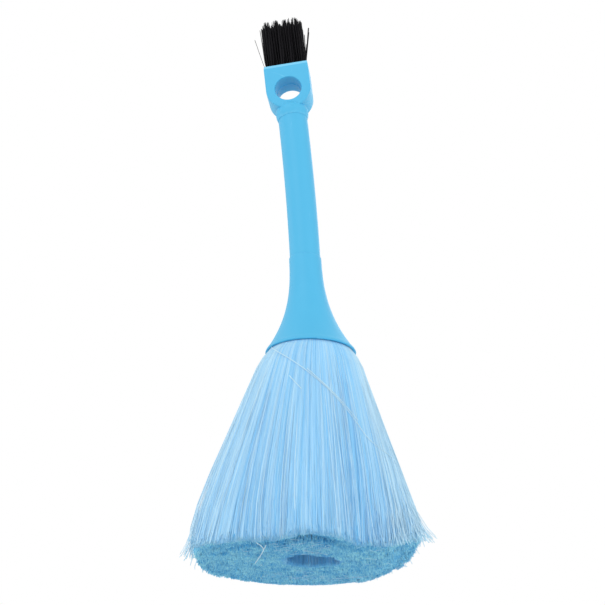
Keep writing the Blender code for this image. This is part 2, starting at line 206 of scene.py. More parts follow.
def drawn(name, profile):
    """Draw a profile of (radius, height) points edge by edge. It stays in edit mode, all selected."""
    nothing_selected()
    bpy.ops.mesh.primitive_plane_add(size=FIT_GAP)
    piece = bpy.context.object
    piece.name = name
    edit_all(piece)
    bpy.ops.mesh.merge(type="CENTER")
    bpy.ops.transform.translate(value=(profile[0][0], 0, profile[0][1]))
    for (radius, height), (next_radius, next_height) in zip(profile, profile[1:]):
        extruded((next_radius - radius, 0, next_height - height))
    all_points()
    return piece


def spun(piece, steps, sweep=2 * pi):
    bpy.ops.mesh.spin(steps=steps, angle=sweep, center=(0, 0, 0), axis=(0, 0, 1))
    done_editing()
    tidy_faces(piece)
    return piece


def turned(name, profile, steps=TURN_STEPS):
    """A profile that is spun about the upright axis."""
    return spun(drawn(name, profile), steps)


def arc(centre, radii, start, end, steps):
    """Points of (radius, height) on a quarter or other arc, ends included."""
    turns = [start + (end - start) * step / steps for step in range(steps + 1)]
    return [(centre[0] + radii[0] * cos(turn), centre[1] + radii[1] * sin(turn)) for turn in turns]


# Handle tube

def make_tube():
    """Turned straight, then bowed ring by ring."""
    bottom = (BELL_SOCKET_FLOOR + FIT_GAP) / cos(LEAN) + TUBE_RADIUS * tan(LEAN)
    top = COLLAR_RIM_HEIGHT + HEAD_SOCKET_DEPTH - FIT_GAP
    soft = EDGE_ROUND
    rings = [LIP_HEIGHT + TUBE_EXPOSED * step / BOW_STEPS for step in range(BOW_STEPS + 1)]
    wall = [(TUBE_RADIUS - soft, bottom), (TUBE_RADIUS, bottom + soft)]
    wall += [(TUBE_RADIUS, height) for height in rings]
    wall += [(TUBE_RADIUS, top - soft), (TUBE_RADIUS - soft, top), (TUBE_BORE + soft, top), (TUBE_BORE, top - soft)]
    wall += [(TUBE_BORE, height) for height in rings[::-1]]
    wall += [(TUBE_BORE, bottom + soft), (TUBE_BORE + soft, bottom), (TUBE_RADIUS - soft, bottom)]
    tube = turned("handle_tube_skin", wall)
    for point in tube.data.vertices:
        point.co = bowed(point.co.z) @ point.co
    smoothed(tube)
    placed(tube, HANDLE_PLACE)
    return tube


# Bell

def flare(height):
    return BELL_LIP_RADIUS + (BELL_RIM_RADIUS - BELL_LIP_RADIUS) * (1 - height / BELL_LENGTH) ** BELL_FLARE_POWER


def bead(height):
    """The slight swelling just above the bell's rim."""
    return BELL_BEAD * sin(pi * min(height / BELL_BEAD_HEIGHT, 1)) ** 2


def flare_heights(top):
    return [top * (step / BELL_FLARE_STEPS) ** BELL_FLARE_CROWDING for step in range(BELL_FLARE_STEPS + 1)]


def leaned(piece):
    """Lean a piece of the bell without tilting its level rim."""
    for point in piece.data.vertices:
        point.co.x -= tan(LEAN) * max(point.co.z, 0)


def make_bell():
    outer = [(flare(height) + bead(height), height) for height in flare_heights(BELL_LENGTH - EDGE_ROUND)]
    lip = [(BELL_LIP_RADIUS - EDGE_ROUND / 2, BELL_LENGTH), (BELL_SOCKET_RADIUS, BELL_LENGTH - EDGE_ROUND / 2)]
    throat = [(BELL_SOCKET_RADIUS, BELL_SOCKET_FLOOR), (BELL_THROAT_RADIUS, BELL_SOCKET_FLOOR),
              (BELL_THROAT_RADIUS, BELL_THROAT_FLOOR)]
    inner = [(flare(height) - BELL_WALL, height) for height in flare_heights(BELL_THROAT_FLOOR)]
    rim = arc((BELL_RIM_RADIUS - BELL_WALL / 2, 0), (BELL_WALL / 2, BELL_RIM_DROP), -pi, 0, BELL_RIM_STEPS)
    bell = turned("bell_skin", outer + lip + throat + inner[::-1] + rim[1:], BELL_TURN_STEPS)
    leaned(bell)
    smoothed(bell)
    placed(bell, RIM_PLACE)
    return bell


# Head

def select_points(piece, chosen):
    """Edit the points that the test picks, and the edges and faces between them."""
    only(piece)
    for point in piece.data.vertices:
        point.select = chosen(point.co)
    for part in (*piece.data.edges, *piece.data.polygons):
        part.select = all(piece.data.vertices[index].select for index in part.vertices)
    bpy.ops.object.mode_set(mode="EDIT")


def make_block():
    """A half disc below the hole, drawn up to a square top and then out to its thickness."""
    nothing_selected()
    bpy.ops.mesh.primitive_circle_add(vertices=TURN_STEPS, radius=BLOCK_WIDTH / 2, fill_type="NGON",
                                      location=(0, -BLOCK_THICKNESS / 2, HOLE_HEIGHT), rotation=(pi / 2, 0, 0))
    block = bpy.context.object
    block.name = "head_skin"
    place_in_mesh()
    edit_all(block)
    bpy.ops.mesh.bisect(plane_co=(0, 0, HOLE_HEIGHT), plane_no=(0, 0, 1), clear_outer=True)
    done_editing()
    select_points(block, lambda place: abs(place.z - HOLE_HEIGHT) < MERGE)
    extruded((0, 0, BLOCK_TOP - HOLE_HEIGHT))
    all_points()
    bpy.ops.mesh.dissolve_limited(angle_limit=radians(1))
    all_points()
    extruded((0, BLOCK_THICKNESS, 0))
    all_points()
    bpy.ops.mesh.bisect(plane_co=(0, 0, BLOCK_TOP - BLOCK_BAND), plane_no=(0, 0, 1))
    done_editing()
    tidy_faces(block)
    select_points(block, lambda place: place.z > BLOCK_TOP - MERGE)
    bpy.ops.transform.resize(value=(BAND_WIDTH_SHARE, BAND_THICKNESS_SHARE, 1))
    done_editing()
    rounded(block, BLOCK_ROUND, 3)
    return block


def make_collar():
    """The round collar with its domed top."""
    rim = [(COLLAR_RADIUS - COLLAR_TAPER, 0), (COLLAR_RADIUS - COLLAR_TAPER / 4, COLLAR_TAPER_HEIGHT / 2),
           (COLLAR_RADIUS, COLLAR_TAPER_HEIGHT)]
    dome = arc((0, COLLAR_LENGTH), (COLLAR_RADIUS, COLLAR_DOME_HEIGHT), 0, pi / 2, COLLAR_DOME_STEPS)
    return turned("collar_tool", [(0, 0)] + rim + dome[:-1] + [(0, COLLAR_LENGTH + COLLAR_DOME_HEIGHT)])


def make_socket_tool():
    reach = -2 * COLLAR_TAPER
    return turned("socket_tool", [(0, reach), (BELL_SOCKET_RADIUS, reach), (BELL_SOCKET_RADIUS, HEAD_SOCKET_DEPTH),
                                  (0, HEAD_SOCKET_DEPTH)])


def make_spigot():
    """The peg inside the tube, rooted in the socket's floor."""
    return turned("spigot", [(0, SPIGOT_TIP), (SPIGOT_RADIUS - SPIGOT_CHAMFER, SPIGOT_TIP),
                             (SPIGOT_RADIUS, SPIGOT_TIP + SPIGOT_CHAMFER), (SPIGOT_RADIUS, SPIGOT_ROOT),
                             (0, SPIGOT_ROOT)])


def make_hole_tool():
    """The hanging hole: rounded mouths, and a parting ridge where the two halves of its core met."""
    half = BLOCK_THICKNESS / 2
    reach = half + 2 * HOLE_ROUND
    ridge = [(HOLE_RADIUS - HOLE_DRAFT - HOLE_RIDGE, 0), (HOLE_RADIUS - HOLE_DRAFT - HOLE_RIDGE, HOLE_RIDGE_HALF),
             (HOLE_RADIUS - HOLE_DRAFT, 2 * HOLE_RIDGE_HALF)]
    mouth = arc((HOLE_RADIUS + HOLE_ROUND, half - HOLE_ROUND_DEPTH), (HOLE_ROUND, HOLE_ROUND_DEPTH), pi, pi / 2,
                HOLE_ROUND_STEPS)
    upper = ridge + mouth + [(HOLE_RADIUS + HOLE_ROUND, reach), (0, reach)]
    lower = [(radius, -height) for radius, height in upper[:0:-1]]
    tool = turned("hole_tool", lower + upper)
    placed(tool, Matrix.Translation((0, 0, HOLE_HEIGHT)) @ Matrix.Rotation(pi / 2, 4, "X"))
    return tool


def tuft_places():
    for row in range(TUFT_ROWS):
        for column in range(TUFT_COLUMNS):
            yield (column - (TUFT_COLUMNS - 1) / 2) * TUFT_PITCH, (row - (TUFT_ROWS - 1) / 2) * TUFT_PITCH


def make_tuft_hole_tool(x, y):
    nothing_selected()
    bpy.ops.mesh.primitive_cylinder_add(vertices=TUFT_HOLE_SIDES, radius=TUFT_HOLE_RADIUS, depth=2 * TUFT_HOLE_DEPTH,
                                        location=(x, y, BLOCK_TOP))
    tool = bpy.context.object
    place_in_mesh()
    return tool


def make_head():
    head = make_block()
    combined(head, make_collar(), "UNION")
    combined(head, make_hole_tool(), "DIFFERENCE")
    for x, y in tuft_places():
        combined(head, make_tuft_hole_tool(x, y), "DIFFERENCE")
    combined(head, make_socket_tool(), "DIFFERENCE")
    combined(head, make_spigot(), "UNION")
    tidy_faces(head)
    smoothed(head)
    modified(head, "WEIGHTED_NORMAL", keep_sharp=True, mode="FACE_AREA", weight=90)
    placed(head, HEAD_PLACE)
    return head


def shown(name, data):
    """A new object of the scene."""
    made = bpy.data.objects.new(name, data)
    bpy.context.scene.collection.objects.link(made)
    return made


# Filaments, as thin three-sided rods that are drawn along their own paths

ROD_CORNERS = 3
ROD_TURN = 2.4                  # from one rod's first corner to the next one's, in radians
UPRIGHT = (0.31, 0.87, 0.38)    # a direction that no upright filament runs in
LEVEL = (0.02, 0.01, 1.0)       # the same for a filament that lies down
EVEN_STEPS = (0.7548776662466927, 0.5698402909980532)


def unit(vectors):
    return vectors / np.linalg.norm(vectors, axis=-1, keepdims=True)


def rods(paths, radii, tone, tip, across=UPRIGHT):
    """Many rods as points, four-cornered faces, three-cornered faces, tones and tips. Paths are
    (rod, station, xyz), radii and tips (rod, station), and tone one value a rod. A tip of 1 is a cut end."""
    count, stations = paths.shape[:2]
    line = unit(np.gradient(paths, axis=1))
    side = unit(np.cross(line, np.array(across)))
    other = np.cross(line, side)
    turn = (np.arange(count) * ROD_TURN)[:, None] + np.arange(ROD_CORNERS) * 2 * pi / ROD_CORNERS
    spokes = np.cos(turn)[:, None, :, None] * side[:, :, None] + np.sin(turn)[:, None, :, None] * other[:, :, None]
    points = paths[:, :, None] + radii[:, :, None, None] * spokes
    first = (np.arange(count) * stations * ROD_CORNERS)[:, None, None]
    station = (np.arange(stations - 1) * ROD_CORNERS)[None, :, None]
    corner = np.arange(ROD_CORNERS)
    after = (corner + 1) % ROD_CORNERS
    walls = np.stack([first + station + corner, first + station + after,
                      first + station + ROD_CORNERS + after, first + station + ROD_CORNERS + corner], axis=-1)
    tips = first[:, 0] + (stations - 1) * ROD_CORNERS + corner
    roots = first[:, 0] + corner[::-1]
    return (points.reshape(-1, 3), walls.reshape(-1, 4), np.concatenate([tips, roots]),
            np.repeat(tone, stations * ROD_CORNERS), np.repeat(tip.ravel(), ROD_CORNERS))


def filament_piece(name, parts):
    """One object of several parts: rods, and the body that some of them lie on."""
    starts = np.cumsum([0] + [len(part[0]) for part in parts[:-1]])
    points = np.concatenate([part[0] for part in parts])
    walls, ends = (np.concatenate([part[index] + start for part, start in zip(parts, starts)]) for index in (1, 2))
    corners = np.concatenate([walls.ravel(), ends.ravel()]).astype(np.int32)
    sizes = np.repeat((walls.shape[1], ends.shape[1]), (len(walls), len(ends)))
    mesh = bpy.data.meshes.new(name)
    mesh.vertices.add(len(points))
    mesh.vertices.foreach_set("co", points.ravel().astype(np.float32))
    mesh.loops.add(len(corners))
    mesh.loops.foreach_set("vertex_index", corners)
    mesh.polygons.add(len(sizes))
    mesh.polygons.foreach_set("loop_start", (np.cumsum(sizes) - sizes).astype(np.int32))
    mesh.update(calc_edges=True)
    mesh.polygons.foreach_set("use_smooth", np.ones(len(sizes), bool))
    for title, index in (("tone", 3), ("tip", 4)):
        values = np.concatenate([part[index] for part in parts]).astype(np.float32)
        mesh.attributes.new(title, "FLOAT", "POINT").data.foreach_set("value", values)
    return shown(name, mesh)


def softened(points, rounds=3):
    """Round off the corners of a line through points, and keep its ends."""
    for _ in range(rounds):
        near = 0.75 * points[:-1] + 0.25 * points[1:]
        far = 0.25 * points[:-1] + 0.75 * points[1:]
        points = np.concatenate([points[:1], np.stack([near, far], 1).reshape(-1, points.shape[1]), points[-1:]])
    return points


def thicker_when_pale(radius, tone):
    return radius * (0.85 + 0.3 * tone[:, None])


def single(points, radius, across=UPRIGHT, tone=1.0):
    """One loose strand."""
    return rods(points[None], np.full((1, len(points)), radius), np.array([tone]), np.zeros((1, len(points))), across)


def spread_evenly(count):
    """Even but unordered pairs of shares."""
    return ((0.5 + step * np.arange(count)) % 1 for step in EVEN_STEPS)


def hill(angle, centre, width, power=2):
    """1 at a centre angle in degrees, and less on both sides of it."""
    away = (np.degrees(angle) - centre + 180) % 360 - 180
    return np.exp(-(np.abs(away) / width) ** power)


def hills(angle, terms):
    """Several hills together, each given as its height, centre, width and perhaps its power."""
    return sum(height * hill(angle, *shape) for height, *shape in terms)


def peak(value, centre, width):
    """1 at a centre, and less on both sides of it."""
    return np.exp(-((value - centre) / width) ** 2)


def waves(angle, terms):
    """Several waves round the skirt together, each given as its height, its count and its start."""
    return sum(height * np.sin(count * angle + start) for height, count, start in terms)


def eased(value):
    value = np.clip(value, 0, 1)
    return value * value * (3 - 2 * value)


# Skirt. Angles in degrees are counted from the right towards the back

OUTER_FILAMENTS = 14000     # seen along their whole length
HOLLOW_FILAMENTS = 1500     # round the hollow in the middle
END_FILAMENTS = 30000       # only their ends are seen, in the cut face
LOCKS = 1500
FILAMENT_RADIUS = 0.00012
END_RADIUS = 0.00017
FOOT_RADIUS = 0.0440
HOLLOW_ROOT_RADIUS = 0.0048
HOLLOW_FOOT_RADIUS = 0.0098
ROLLED_LAYERS = 2.7
LONG_STATIONS = np.array((0.0, 0.058, 0.085, 0.14, 0.27, 0.48, 0.68, 0.84, 0.955, 0.985, 1.0))
# Tips say how far each station takes the cut end's painted shade
LONG_TIPS = (0,) * 9 + (0.05, 0.4)
HOLLOW_TIPS = (0,) * 10 + (0.5,)
END_STATIONS = np.array((0.92, 0.965, 0.985, 1.0))
END_TIPS = (0.2, 0.5, 0.8, 1)
TURN_SCATTER = 0.006        # of where filaments and locks grow, in turns
END_SCATTER = 0.004
LOCK_SCATTER = 0.02
HOOK_START = 0.955          # share of the length, and the rest of it
HOOK_LENGTH = 0.045
REACH_LIMIT = 0.0465
BELL_MARGIN = 0.0156        # radius that the skirt keeps to at the bell's rim
BELL_CLOSING = 0.73         # how fast it closes in above the rim

OUTLINE_START = 0.01343
OUTLINE_SLOPE = 0.3528
OUTLINE_SWELL = (0.00469, 0.0024)   # a size, and the drop that it takes
OUTLINE_LIP = (0.0022, 0.0012)
# Shares of the radius by which the outline is drawn in at the cut
DRAWN_IN = ((0.068, 116, 74, 6), (-0.014, 72, 17), (-0.016, 160, 14), (0.123, -172, 28), (0.047, -130, 18),
            (0.175, -99, 18), (0.025, -25, 12), (0.038, 0, 22))
DRAWN_IN_POWER = 5          # how late that begins
FURROW = ((0.26, -46, 23),)
FURROW_POWER = 1.6
SLIM_LEFT = ((0.0012, 180, 45),)
SLIM_RIGHT = ((0.0008, 0, 40),)
VEIL = ((0.0016, -156, 20), (0.0038, -9, 24))
VEIL_POWER = 9
HOLLOW_WAVES = ((0.08, 3, 0.6), (0.05, 7, 0.0))
HOLLOW_PUSH = (0.0028, -0.0012)
MIDDLE_SHIFT = (-0.0006, 0.006)     # to the left, and the drop that it takes
MIDDLE_SLOPE = (-0.0257, 0.035)     # to the left and the back
ROLL_WANDER = ((1.3, 2, 0.7), (1.0, 3, 2.1), (0.6, 7, 0.3))
RAISED_EDGE = ((0.0013, -81, 14), (0.0072, 13, 30), (0.0010, -172, 28))
GROOVE = ((0.0030, -83, 24),)
GROOVE_PLACE = (0.74, 0.10)         # share of the way out, and its width


def skirt_outline(drop, angle):
    """Radius of the skirt's outside, a drop below the bell's rim: round above, drawn in unevenly at the cut."""
    below = np.maximum(drop, 0)
    swell, swell_drop = OUTLINE_SWELL
    lip, lip_drop = OUTLINE_LIP
    round_one = OUTLINE_START + OUTLINE_SLOPE * below + swell * (1 - np.exp(-below / swell_drop))
    round_one = round_one + lip * np.exp(-below / lip_drop)
    fall = np.minimum(below / RIM_HEIGHT, 1)
    drawn_in = fall ** DRAWN_IN_POWER * hills(angle, DRAWN_IN) + fall ** FURROW_POWER * hills(angle, FURROW)
    slim = hills(angle, SLIM_LEFT) * np.sin(pi * fall ** 0.6) + hills(angle, SLIM_RIGHT) * np.sin(pi * fall)
    return np.where(drop < 0, BELL_MARGIN + BELL_CLOSING * drop, round_one * (1 - drawn_in) - slim)


def veil(drop, angle):
    """Depth of the thin layer of spread filaments, which opens round the cut on the left and the right."""
    return hills(angle, VEIL) * np.clip(drop / RIM_HEIGHT, 0, 1) ** VEIL_POWER


def core_outline(drop, angle):
    """Radius that the dense part of the skirt reaches."""
    return skirt_outline(drop, angle) - veil(drop, angle)


def hollow_outline(drop, angle):
    """Radius of the hollow: wavy, and pushed to the right and the front at the foot."""
    share = np.clip(drop / RIM_HEIGHT, 0, 1)
    pushed = share ** 2 * (HOLLOW_PUSH[0] * np.cos(angle) + HOLLOW_PUSH[1] * np.sin(angle))
    radius = HOLLOW_ROOT_RADIUS + (HOLLOW_FOOT_RADIUS - HOLLOW_ROOT_RADIUS) * share
    return radius * (1 + share * waves(angle, HOLLOW_WAVES)) + pushed


def skirt_place(drop, angle, radius):
    """X and Y of a point of the skirt, which hangs a little to the left and towards the back. They are
    kept inside the bell and within the skirt's reach."""
    below = np.maximum(drop, 0)
    x = MIDDLE_SHIFT[0] * (1 - np.exp(-below / MIDDLE_SHIFT[1])) + MIDDLE_SLOPE[0] * below + radius * np.cos(angle)
    y = MIDDLE_SLOPE[1] * below + radius * np.sin(angle)
    held = np.where(drop > 0, REACH_LIMIT, BELL_MARGIN + BELL_CLOSING * np.minimum(drop, 0))
    inside = np.minimum(held / np.maximum(np.hypot(x, y), MERGE), 1)
    return x * inside, y * inside


def foot_share(fill):
    """Share of the way from the hollow to the outside, so that the foot is evenly filled."""
    inner, outer = HOLLOW_FOOT_RADIUS, FOOT_RADIUS
    return (np.sqrt(fill * (outer ** 2 - inner ** 2) + inner ** 2) - inner) / (outer - inner)


def roll_phase(angle, share):
    """Where a filament lies in the rolled layers of the cut face."""
    return 2 * pi * ROLLED_LAYERS * share + angle + waves(angle, ROLL_WANDER)


def raised(angle, share):
    """How far the cut lies above the floor: a bump and a groove at the front, and a higher right end."""
    groove = hills(angle, GROOVE) * peak(share, *GROOVE_PLACE)
    return eased((share - 0.5) / 0.5) * hills(angle, RAISED_EDGE) + groove


class Locks:
    """Small locks that the filaments gather in, and what the filaments of each lock share."""

    def __init__(self):
        self.rng = np.random.default_rng(11)
        turn, fill = spread_evenly(LOCKS)
        self.angle = 2 * pi * (turn + self.rng.normal(0, TURN_SCATTER, LOCKS))
        self.share = foot_share(np.clip(fill + self.rng.normal(0, LOCK_SCATTER, LOCKS), 0, 1))
        self.cut = self.rng.uniform(0, 1, LOCKS)
        self.tone, self.sway, self.belly, self.outward = self.rng.normal(0, 1, (4, LOCKS))

    def nearest(self, angle, share):
        def foot(some_angle, some_share):
            radius = HOLLOW_FOOT_RADIUS + some_share * (FOOT_RADIUS - HOLLOW_FOOT_RADIUS)
            return np.stack([radius * np.cos(some_angle), radius * np.sin(some_angle)], 1)
        places = foot(self.angle, self.share)
        return np.concatenate([((part[:, None] - places[None]) ** 2).sum(2).argmin(1)
                               for part in np.array_split(foot(angle, share), 40)])


# Shares of the way out: of the outermost filaments, the rolled layers and the ragged rim
OUTERMOST = 0.99
ROLLED_SHARE = 0.93
RIM_SHARE = 0.8
RAGGED_SHARE = 0.7

ROLL_STEP = 0.0007          # from one rolled layer of the cut to the next
ROLL_WAVE = 0.0002
LOCK_STEP = 0.0007          # of the cut between locks
UNEVEN = 0.00028            # of the cut between filaments, and of their hooked ends
EVEN_BACK = ((0.6, 95, 45),)    # where the cut is more even
RAGGED = (8, 38)            # centre and width
RAGGED_LOCK = 0.0022
RAGGED_FILAMENT = 0.001
WISPS = ((1, -6, 26), (0.7, -170, 22))
WISP_SHARE = 0.04
WISP_SPREAD = 0.0055
WISP_POWER = 11
HELD_UP_LEFT = ((0.0045, -178, 28),)    # how far the other filaments end above the wisps
HELD_UP_RIGHT = ((0.004, -5, 26),)
FLYAWAYS = ((1, 0, 40), (1, -160, 30))
FLYAWAY_SHARE = 0.006
FLYAWAY_SHARE_AT_SIDES = 0.012
FLYAWAY_OUT = 0.0026
FLYAWAY_ASIDE = 0.0018
# Painted light: wisps and flyaways at the edges are coloured paler, standing in for light shining through them
PAINTED_LIGHT_WISP = 0.3
LOCK_PULL = 0.14
SWAY = 0.0004
BELLY = 0.0002
WAVE = 0.00011
OUTWARD = 0.00005
MIDDLE_TONE = 0.40
# Painted light and shade round the skirt, in tone: paler flanks on the right and the left as painted light, and a
# darker furrow at the front right as painted shade
PAINTED_LIGHT_AND_SHADE_ROUND = ((-0.12, -46, 14), (0.32, -8, 26), (0.26, -168, 34))
# Painted shade: the filaments round the hollow are coloured deeper
PAINTED_SHADE_HOLLOW = 0.4
# Painted shade in the cut face at the front, round the groove: angle terms, then share of the way out and width
PAINTED_SHADE_FOLD = ((0.45, -100, 55),)
PAINTED_SHADE_FOLD_PLACE = (0.76, 0.13)


def filaments(locks, angle, share, depth, unlike):
    """What makes each filament its own: where it grows, how it sways, its lock, its cut and its colour, with painted
    light on the flanks and the wisps and painted shade in the furrow, the hollow and the cut face's fold.
    """
    rng, count, lock = locks.rng, len(angle), locks.nearest(angle, share)
    outermost = share > OUTERMOST
    roll = (roll_phase(angle, share) / (2 * pi)) % 1
    even_back = 1 - hills(angle, EVEN_BACK) * (share > RIM_SHARE)
    rolled = ROLL_STEP * roll ** 1.5 + ROLL_WAVE * np.sin(2 * pi * roll)
    cut = raised(angle, share) + rolled * (share < ROLLED_SHARE)
    cut += (LOCK_STEP * locks.cut[lock] + rng.exponential(UNEVEN, count) * (1 + outermost)) * even_back
    ragged = hill(angle, *RAGGED) * (share > RAGGED_SHARE)
    cut += ragged * (RAGGED_LOCK * locks.cut[lock] ** 2 + rng.uniform(0, RAGGED_FILAMENT, count))
    wisp = (rng.random(count) < WISP_SHARE * hills(angle, WISPS)) & outermost
    left = hills(angle, HELD_UP_LEFT) * (1 + rng.random(count))
    right = hills(angle, HELD_UP_RIGHT) * rng.random(count)
    cut += outermost * ~wisp * (left + right)
    flyaway = rng.random(count) < FLYAWAY_SHARE + FLYAWAY_SHARE_AT_SIDES * hills(angle, FLYAWAYS)
    flyaway &= outermost
    hook = rng.exponential(UNEVEN, count)
    hook_turn = rng.uniform(0, 2 * pi, count)
    pull = LOCK_PULL * rng.uniform(0.3, 1.2, count)
    # Painted shade of the fold in the cut face
    fold_shade = hills(angle, PAINTED_SHADE_FOLD) * peak(share, *PAINTED_SHADE_FOLD_PLACE)
    # Besides its random part, the tone carries painted light and shade
    tone = (MIDDLE_TONE + 0.3 * unlike * locks.tone[lock] + rng.normal(0, unlike, count)
            + hills(angle, PAINTED_LIGHT_AND_SHADE_ROUND) - PAINTED_SHADE_HOLLOW * (share < 0.001) - fold_shade)
    return dict(
        angle=angle, share=share, depth=depth, cut=cut,
        # Wisps and flyaways get their painted light here
        tone=np.clip(tone + PAINTED_LIGHT_WISP * (wisp | flyaway), 0, 0.9),
        stray=rng.random(count) ** 6 * outermost, wisp=wisp * rng.uniform(0, WISP_SPREAD, count),
        turn=pull * ((locks.angle[lock] - angle + pi) % (2 * pi) - pi), close=pull * (locks.share[lock] - share),
        sway=0.75 * SWAY * locks.sway[lock] + rng.normal(0, SWAY, count),
        belly=BELLY * locks.belly[lock] + rng.normal(0, BELLY, count), wave=rng.normal(0, WAVE, count),
        outward=(0.6 * OUTWARD * locks.outward[lock] + rng.normal(0, OUTWARD, count)
                 + flyaway * rng.uniform(0, FLYAWAY_OUT, count)),
        aside=flyaway * rng.normal(0, FLYAWAY_ASIDE, count),
        hook_x=hook * np.cos(hook_turn), hook_y=hook * np.sin(hook_turn), hook_up=0.4 * hook)


def filament_rods(own, stations, thickness, tips):
    """Rods along the filaments, from their roots or from part of the way down to their cut ends."""
    tone = own["tone"]
    own = {title: values[:, None] for title, values in own.items()}
    along = stations[None]
    drop = -BACKING_SETBACK + along * (RIM_HEIGHT + BACKING_SETBACK - own["cut"])
    angle = own["angle"] + along ** 1.2 * own["turn"]
    share = np.clip(own["share"] + along ** 1.2 * own["close"], 0, 1)
    lean, belly = along ** 1.3, np.sin(pi * along)
    hollow = hollow_outline(drop, angle)
    reach = core_outline(drop, angle) + own["stray"] * veil(drop, angle)
    radius = (hollow + share * (reach - hollow) - own["depth"] + lean * own["outward"]
              + along ** WISP_POWER * own["wisp"])
    sideways = (lean * (own["sway"] + own["aside"]) + belly * own["belly"]
                + along * np.sin(3 * pi * along + 9 * own["angle"]) * own["wave"])
    hooked = np.clip((along - HOOK_START) / HOOK_LENGTH, 0, 1) ** 2
    x, y = skirt_place(drop, angle + sideways / radius, radius)
    z = np.maximum(RIM_HEIGHT - drop + hooked * own["hook_up"], thickness)
    paths = np.stack([x + hooked * own["hook_x"], y + hooked * own["hook_y"], z], axis=2)
    radii = thicker_when_pale(thickness, tone) * np.where(along < 1, 1, 0.8)
    return rods(paths, radii, tone, np.broadcast_to(np.array(tips)[None], z.shape))


MASS_COLUMNS = 72
MASS_INNER_STEP = 6         # of those columns, to one round the hollow
MASS_DEPTH = 0.00045        # below the skirt's outline
MASS_RIPPLE = 0.00006
MASS_END = 0.0054           # above the cut
MASS_LEVELS = np.array((0.0, 0.031, 0.045, 0.065, 0.10, 0.17, 0.30, 0.45, 0.60, 0.72, 0.82, 0.89, 0.95, 1.0))
MASS_TONE = 0.42
MASS_TONE_CHANGE = 0.08
MASS_END_TONE = 0.4
MASS_END_TIP = 0.7


def packed_mass(number):
    """The body of a hank under its outermost filaments: one closed shape, rippled like strands side by side."""
    rng = np.random.default_rng(70 + number)
    sweep = np.linspace(-1, 1, MASS_COLUMNS + 1) * pi / HANK_COUNT
    inner_sweep = sweep[::-MASS_INNER_STEP]
    angle = 2 * pi * number / HANK_COUNT + np.concatenate([sweep, inner_sweep])
    share = np.repeat((1.0, 0.0), (len(sweep), len(inner_sweep)))
    start, end = -BACKING_SETBACK / 2, RIM_HEIGHT - MASS_END - raised(angle, share)
    drop = start + MASS_LEVELS[:, None] * (end - start)[None]
    ripple = MASS_RIPPLE * rng.uniform(-1, 1, len(angle))
    radius = np.where(share[None] > 0, core_outline(drop, angle[None]) - MASS_DEPTH + ripple[None],
                      hollow_outline(drop, angle[None]) + MASS_DEPTH)
    x, y = skirt_place(drop, angle[None], radius)
    points = np.stack([x, y, RIM_HEIGHT - drop], 2)
    middles = np.stack([points[0].mean(0), points[-1].mean(0)])
    levels, corners = points.shape[:2]
    here = np.arange(corners)
    after = (here + 1) % corners
    level = (np.arange(levels - 1) * corners)[:, None]
    walls = np.stack([level + here, level + corners + here, level + corners + after, level + after], 2)
    top = np.stack([np.full(corners, levels * corners), here, after], 1)
    last = (levels - 1) * corners
    bottom = np.stack([np.full(corners, levels * corners + 1), last + after, last + here], 1)
    tone = np.tile(np.clip(MASS_TONE + MASS_TONE_CHANGE * rng.normal(0, 1, corners), 0, 1), levels)
    tip = np.repeat(np.where(np.arange(levels) < levels - 1, 0.0, MASS_END_TIP), corners)
    return (np.concatenate([points.reshape(-1, 3), middles]), walls.reshape(-1, 4), np.concatenate([top, bottom]),
            np.append(tone, (MASS_END_TONE, MASS_END_TONE)), np.append(tip, (0.0, MASS_END_TIP)))


# Pale strands that lie loose on the skirt, from the bell's rim down: (angle in degrees, drop in metres)
LOOSE_STRANDS = (
    ((-150, -0.0008), (-124, 0.0036), (-96, 0.0106), (-74, 0.0188), (-62, 0.0242), (-47, 0.0318), (-34.5, 0.0400),
     (-8, 0.0438)),
    ((-84, 0.0140), (-62, 0.0234), (-43.5, 0.0322)),
    ((-98.6, 0.0167), (-93, 0.0196), (-87.7, 0.0224)),
)
LOOSE_PROUD = 0.0004
LOOSE_SINK = 0.003          # how much lower down the place is read that a strand lies on
LOOSE_RADIUS = 0.00015
# Short straight ones across the cut face, from (x, y) to (x, y)
CROSSING_STRANDS = (((-0.0195, 0.0), (-0.0110, -0.0300)), ((-0.0136, -0.0340), (-0.0128, -0.0240)))
CROSSING_HEIGHT = 0.0002
CROSSING_BOW = (0.0004, 0.0003)
LOOP_COUNT = 96
LOOP_STEPS = 11
LOOP_RADIUS = 0.00006
LOOP_SMALLEST = 0.001
LOOP_HEIGHTS = (0.0002, 0.0005)
# Where the curled ends lie: angles in degrees, radii, and the longest half length
LOOP_FIELDS = ((-112, -62, 0.012, 0.034, 0.0045), (55, 125, 0.028, 0.037, 0.0060), (-180, 180, 0.014, 0.034, 0.0030),
               (-112, -62, 0.012, 0.034, 0.0030))


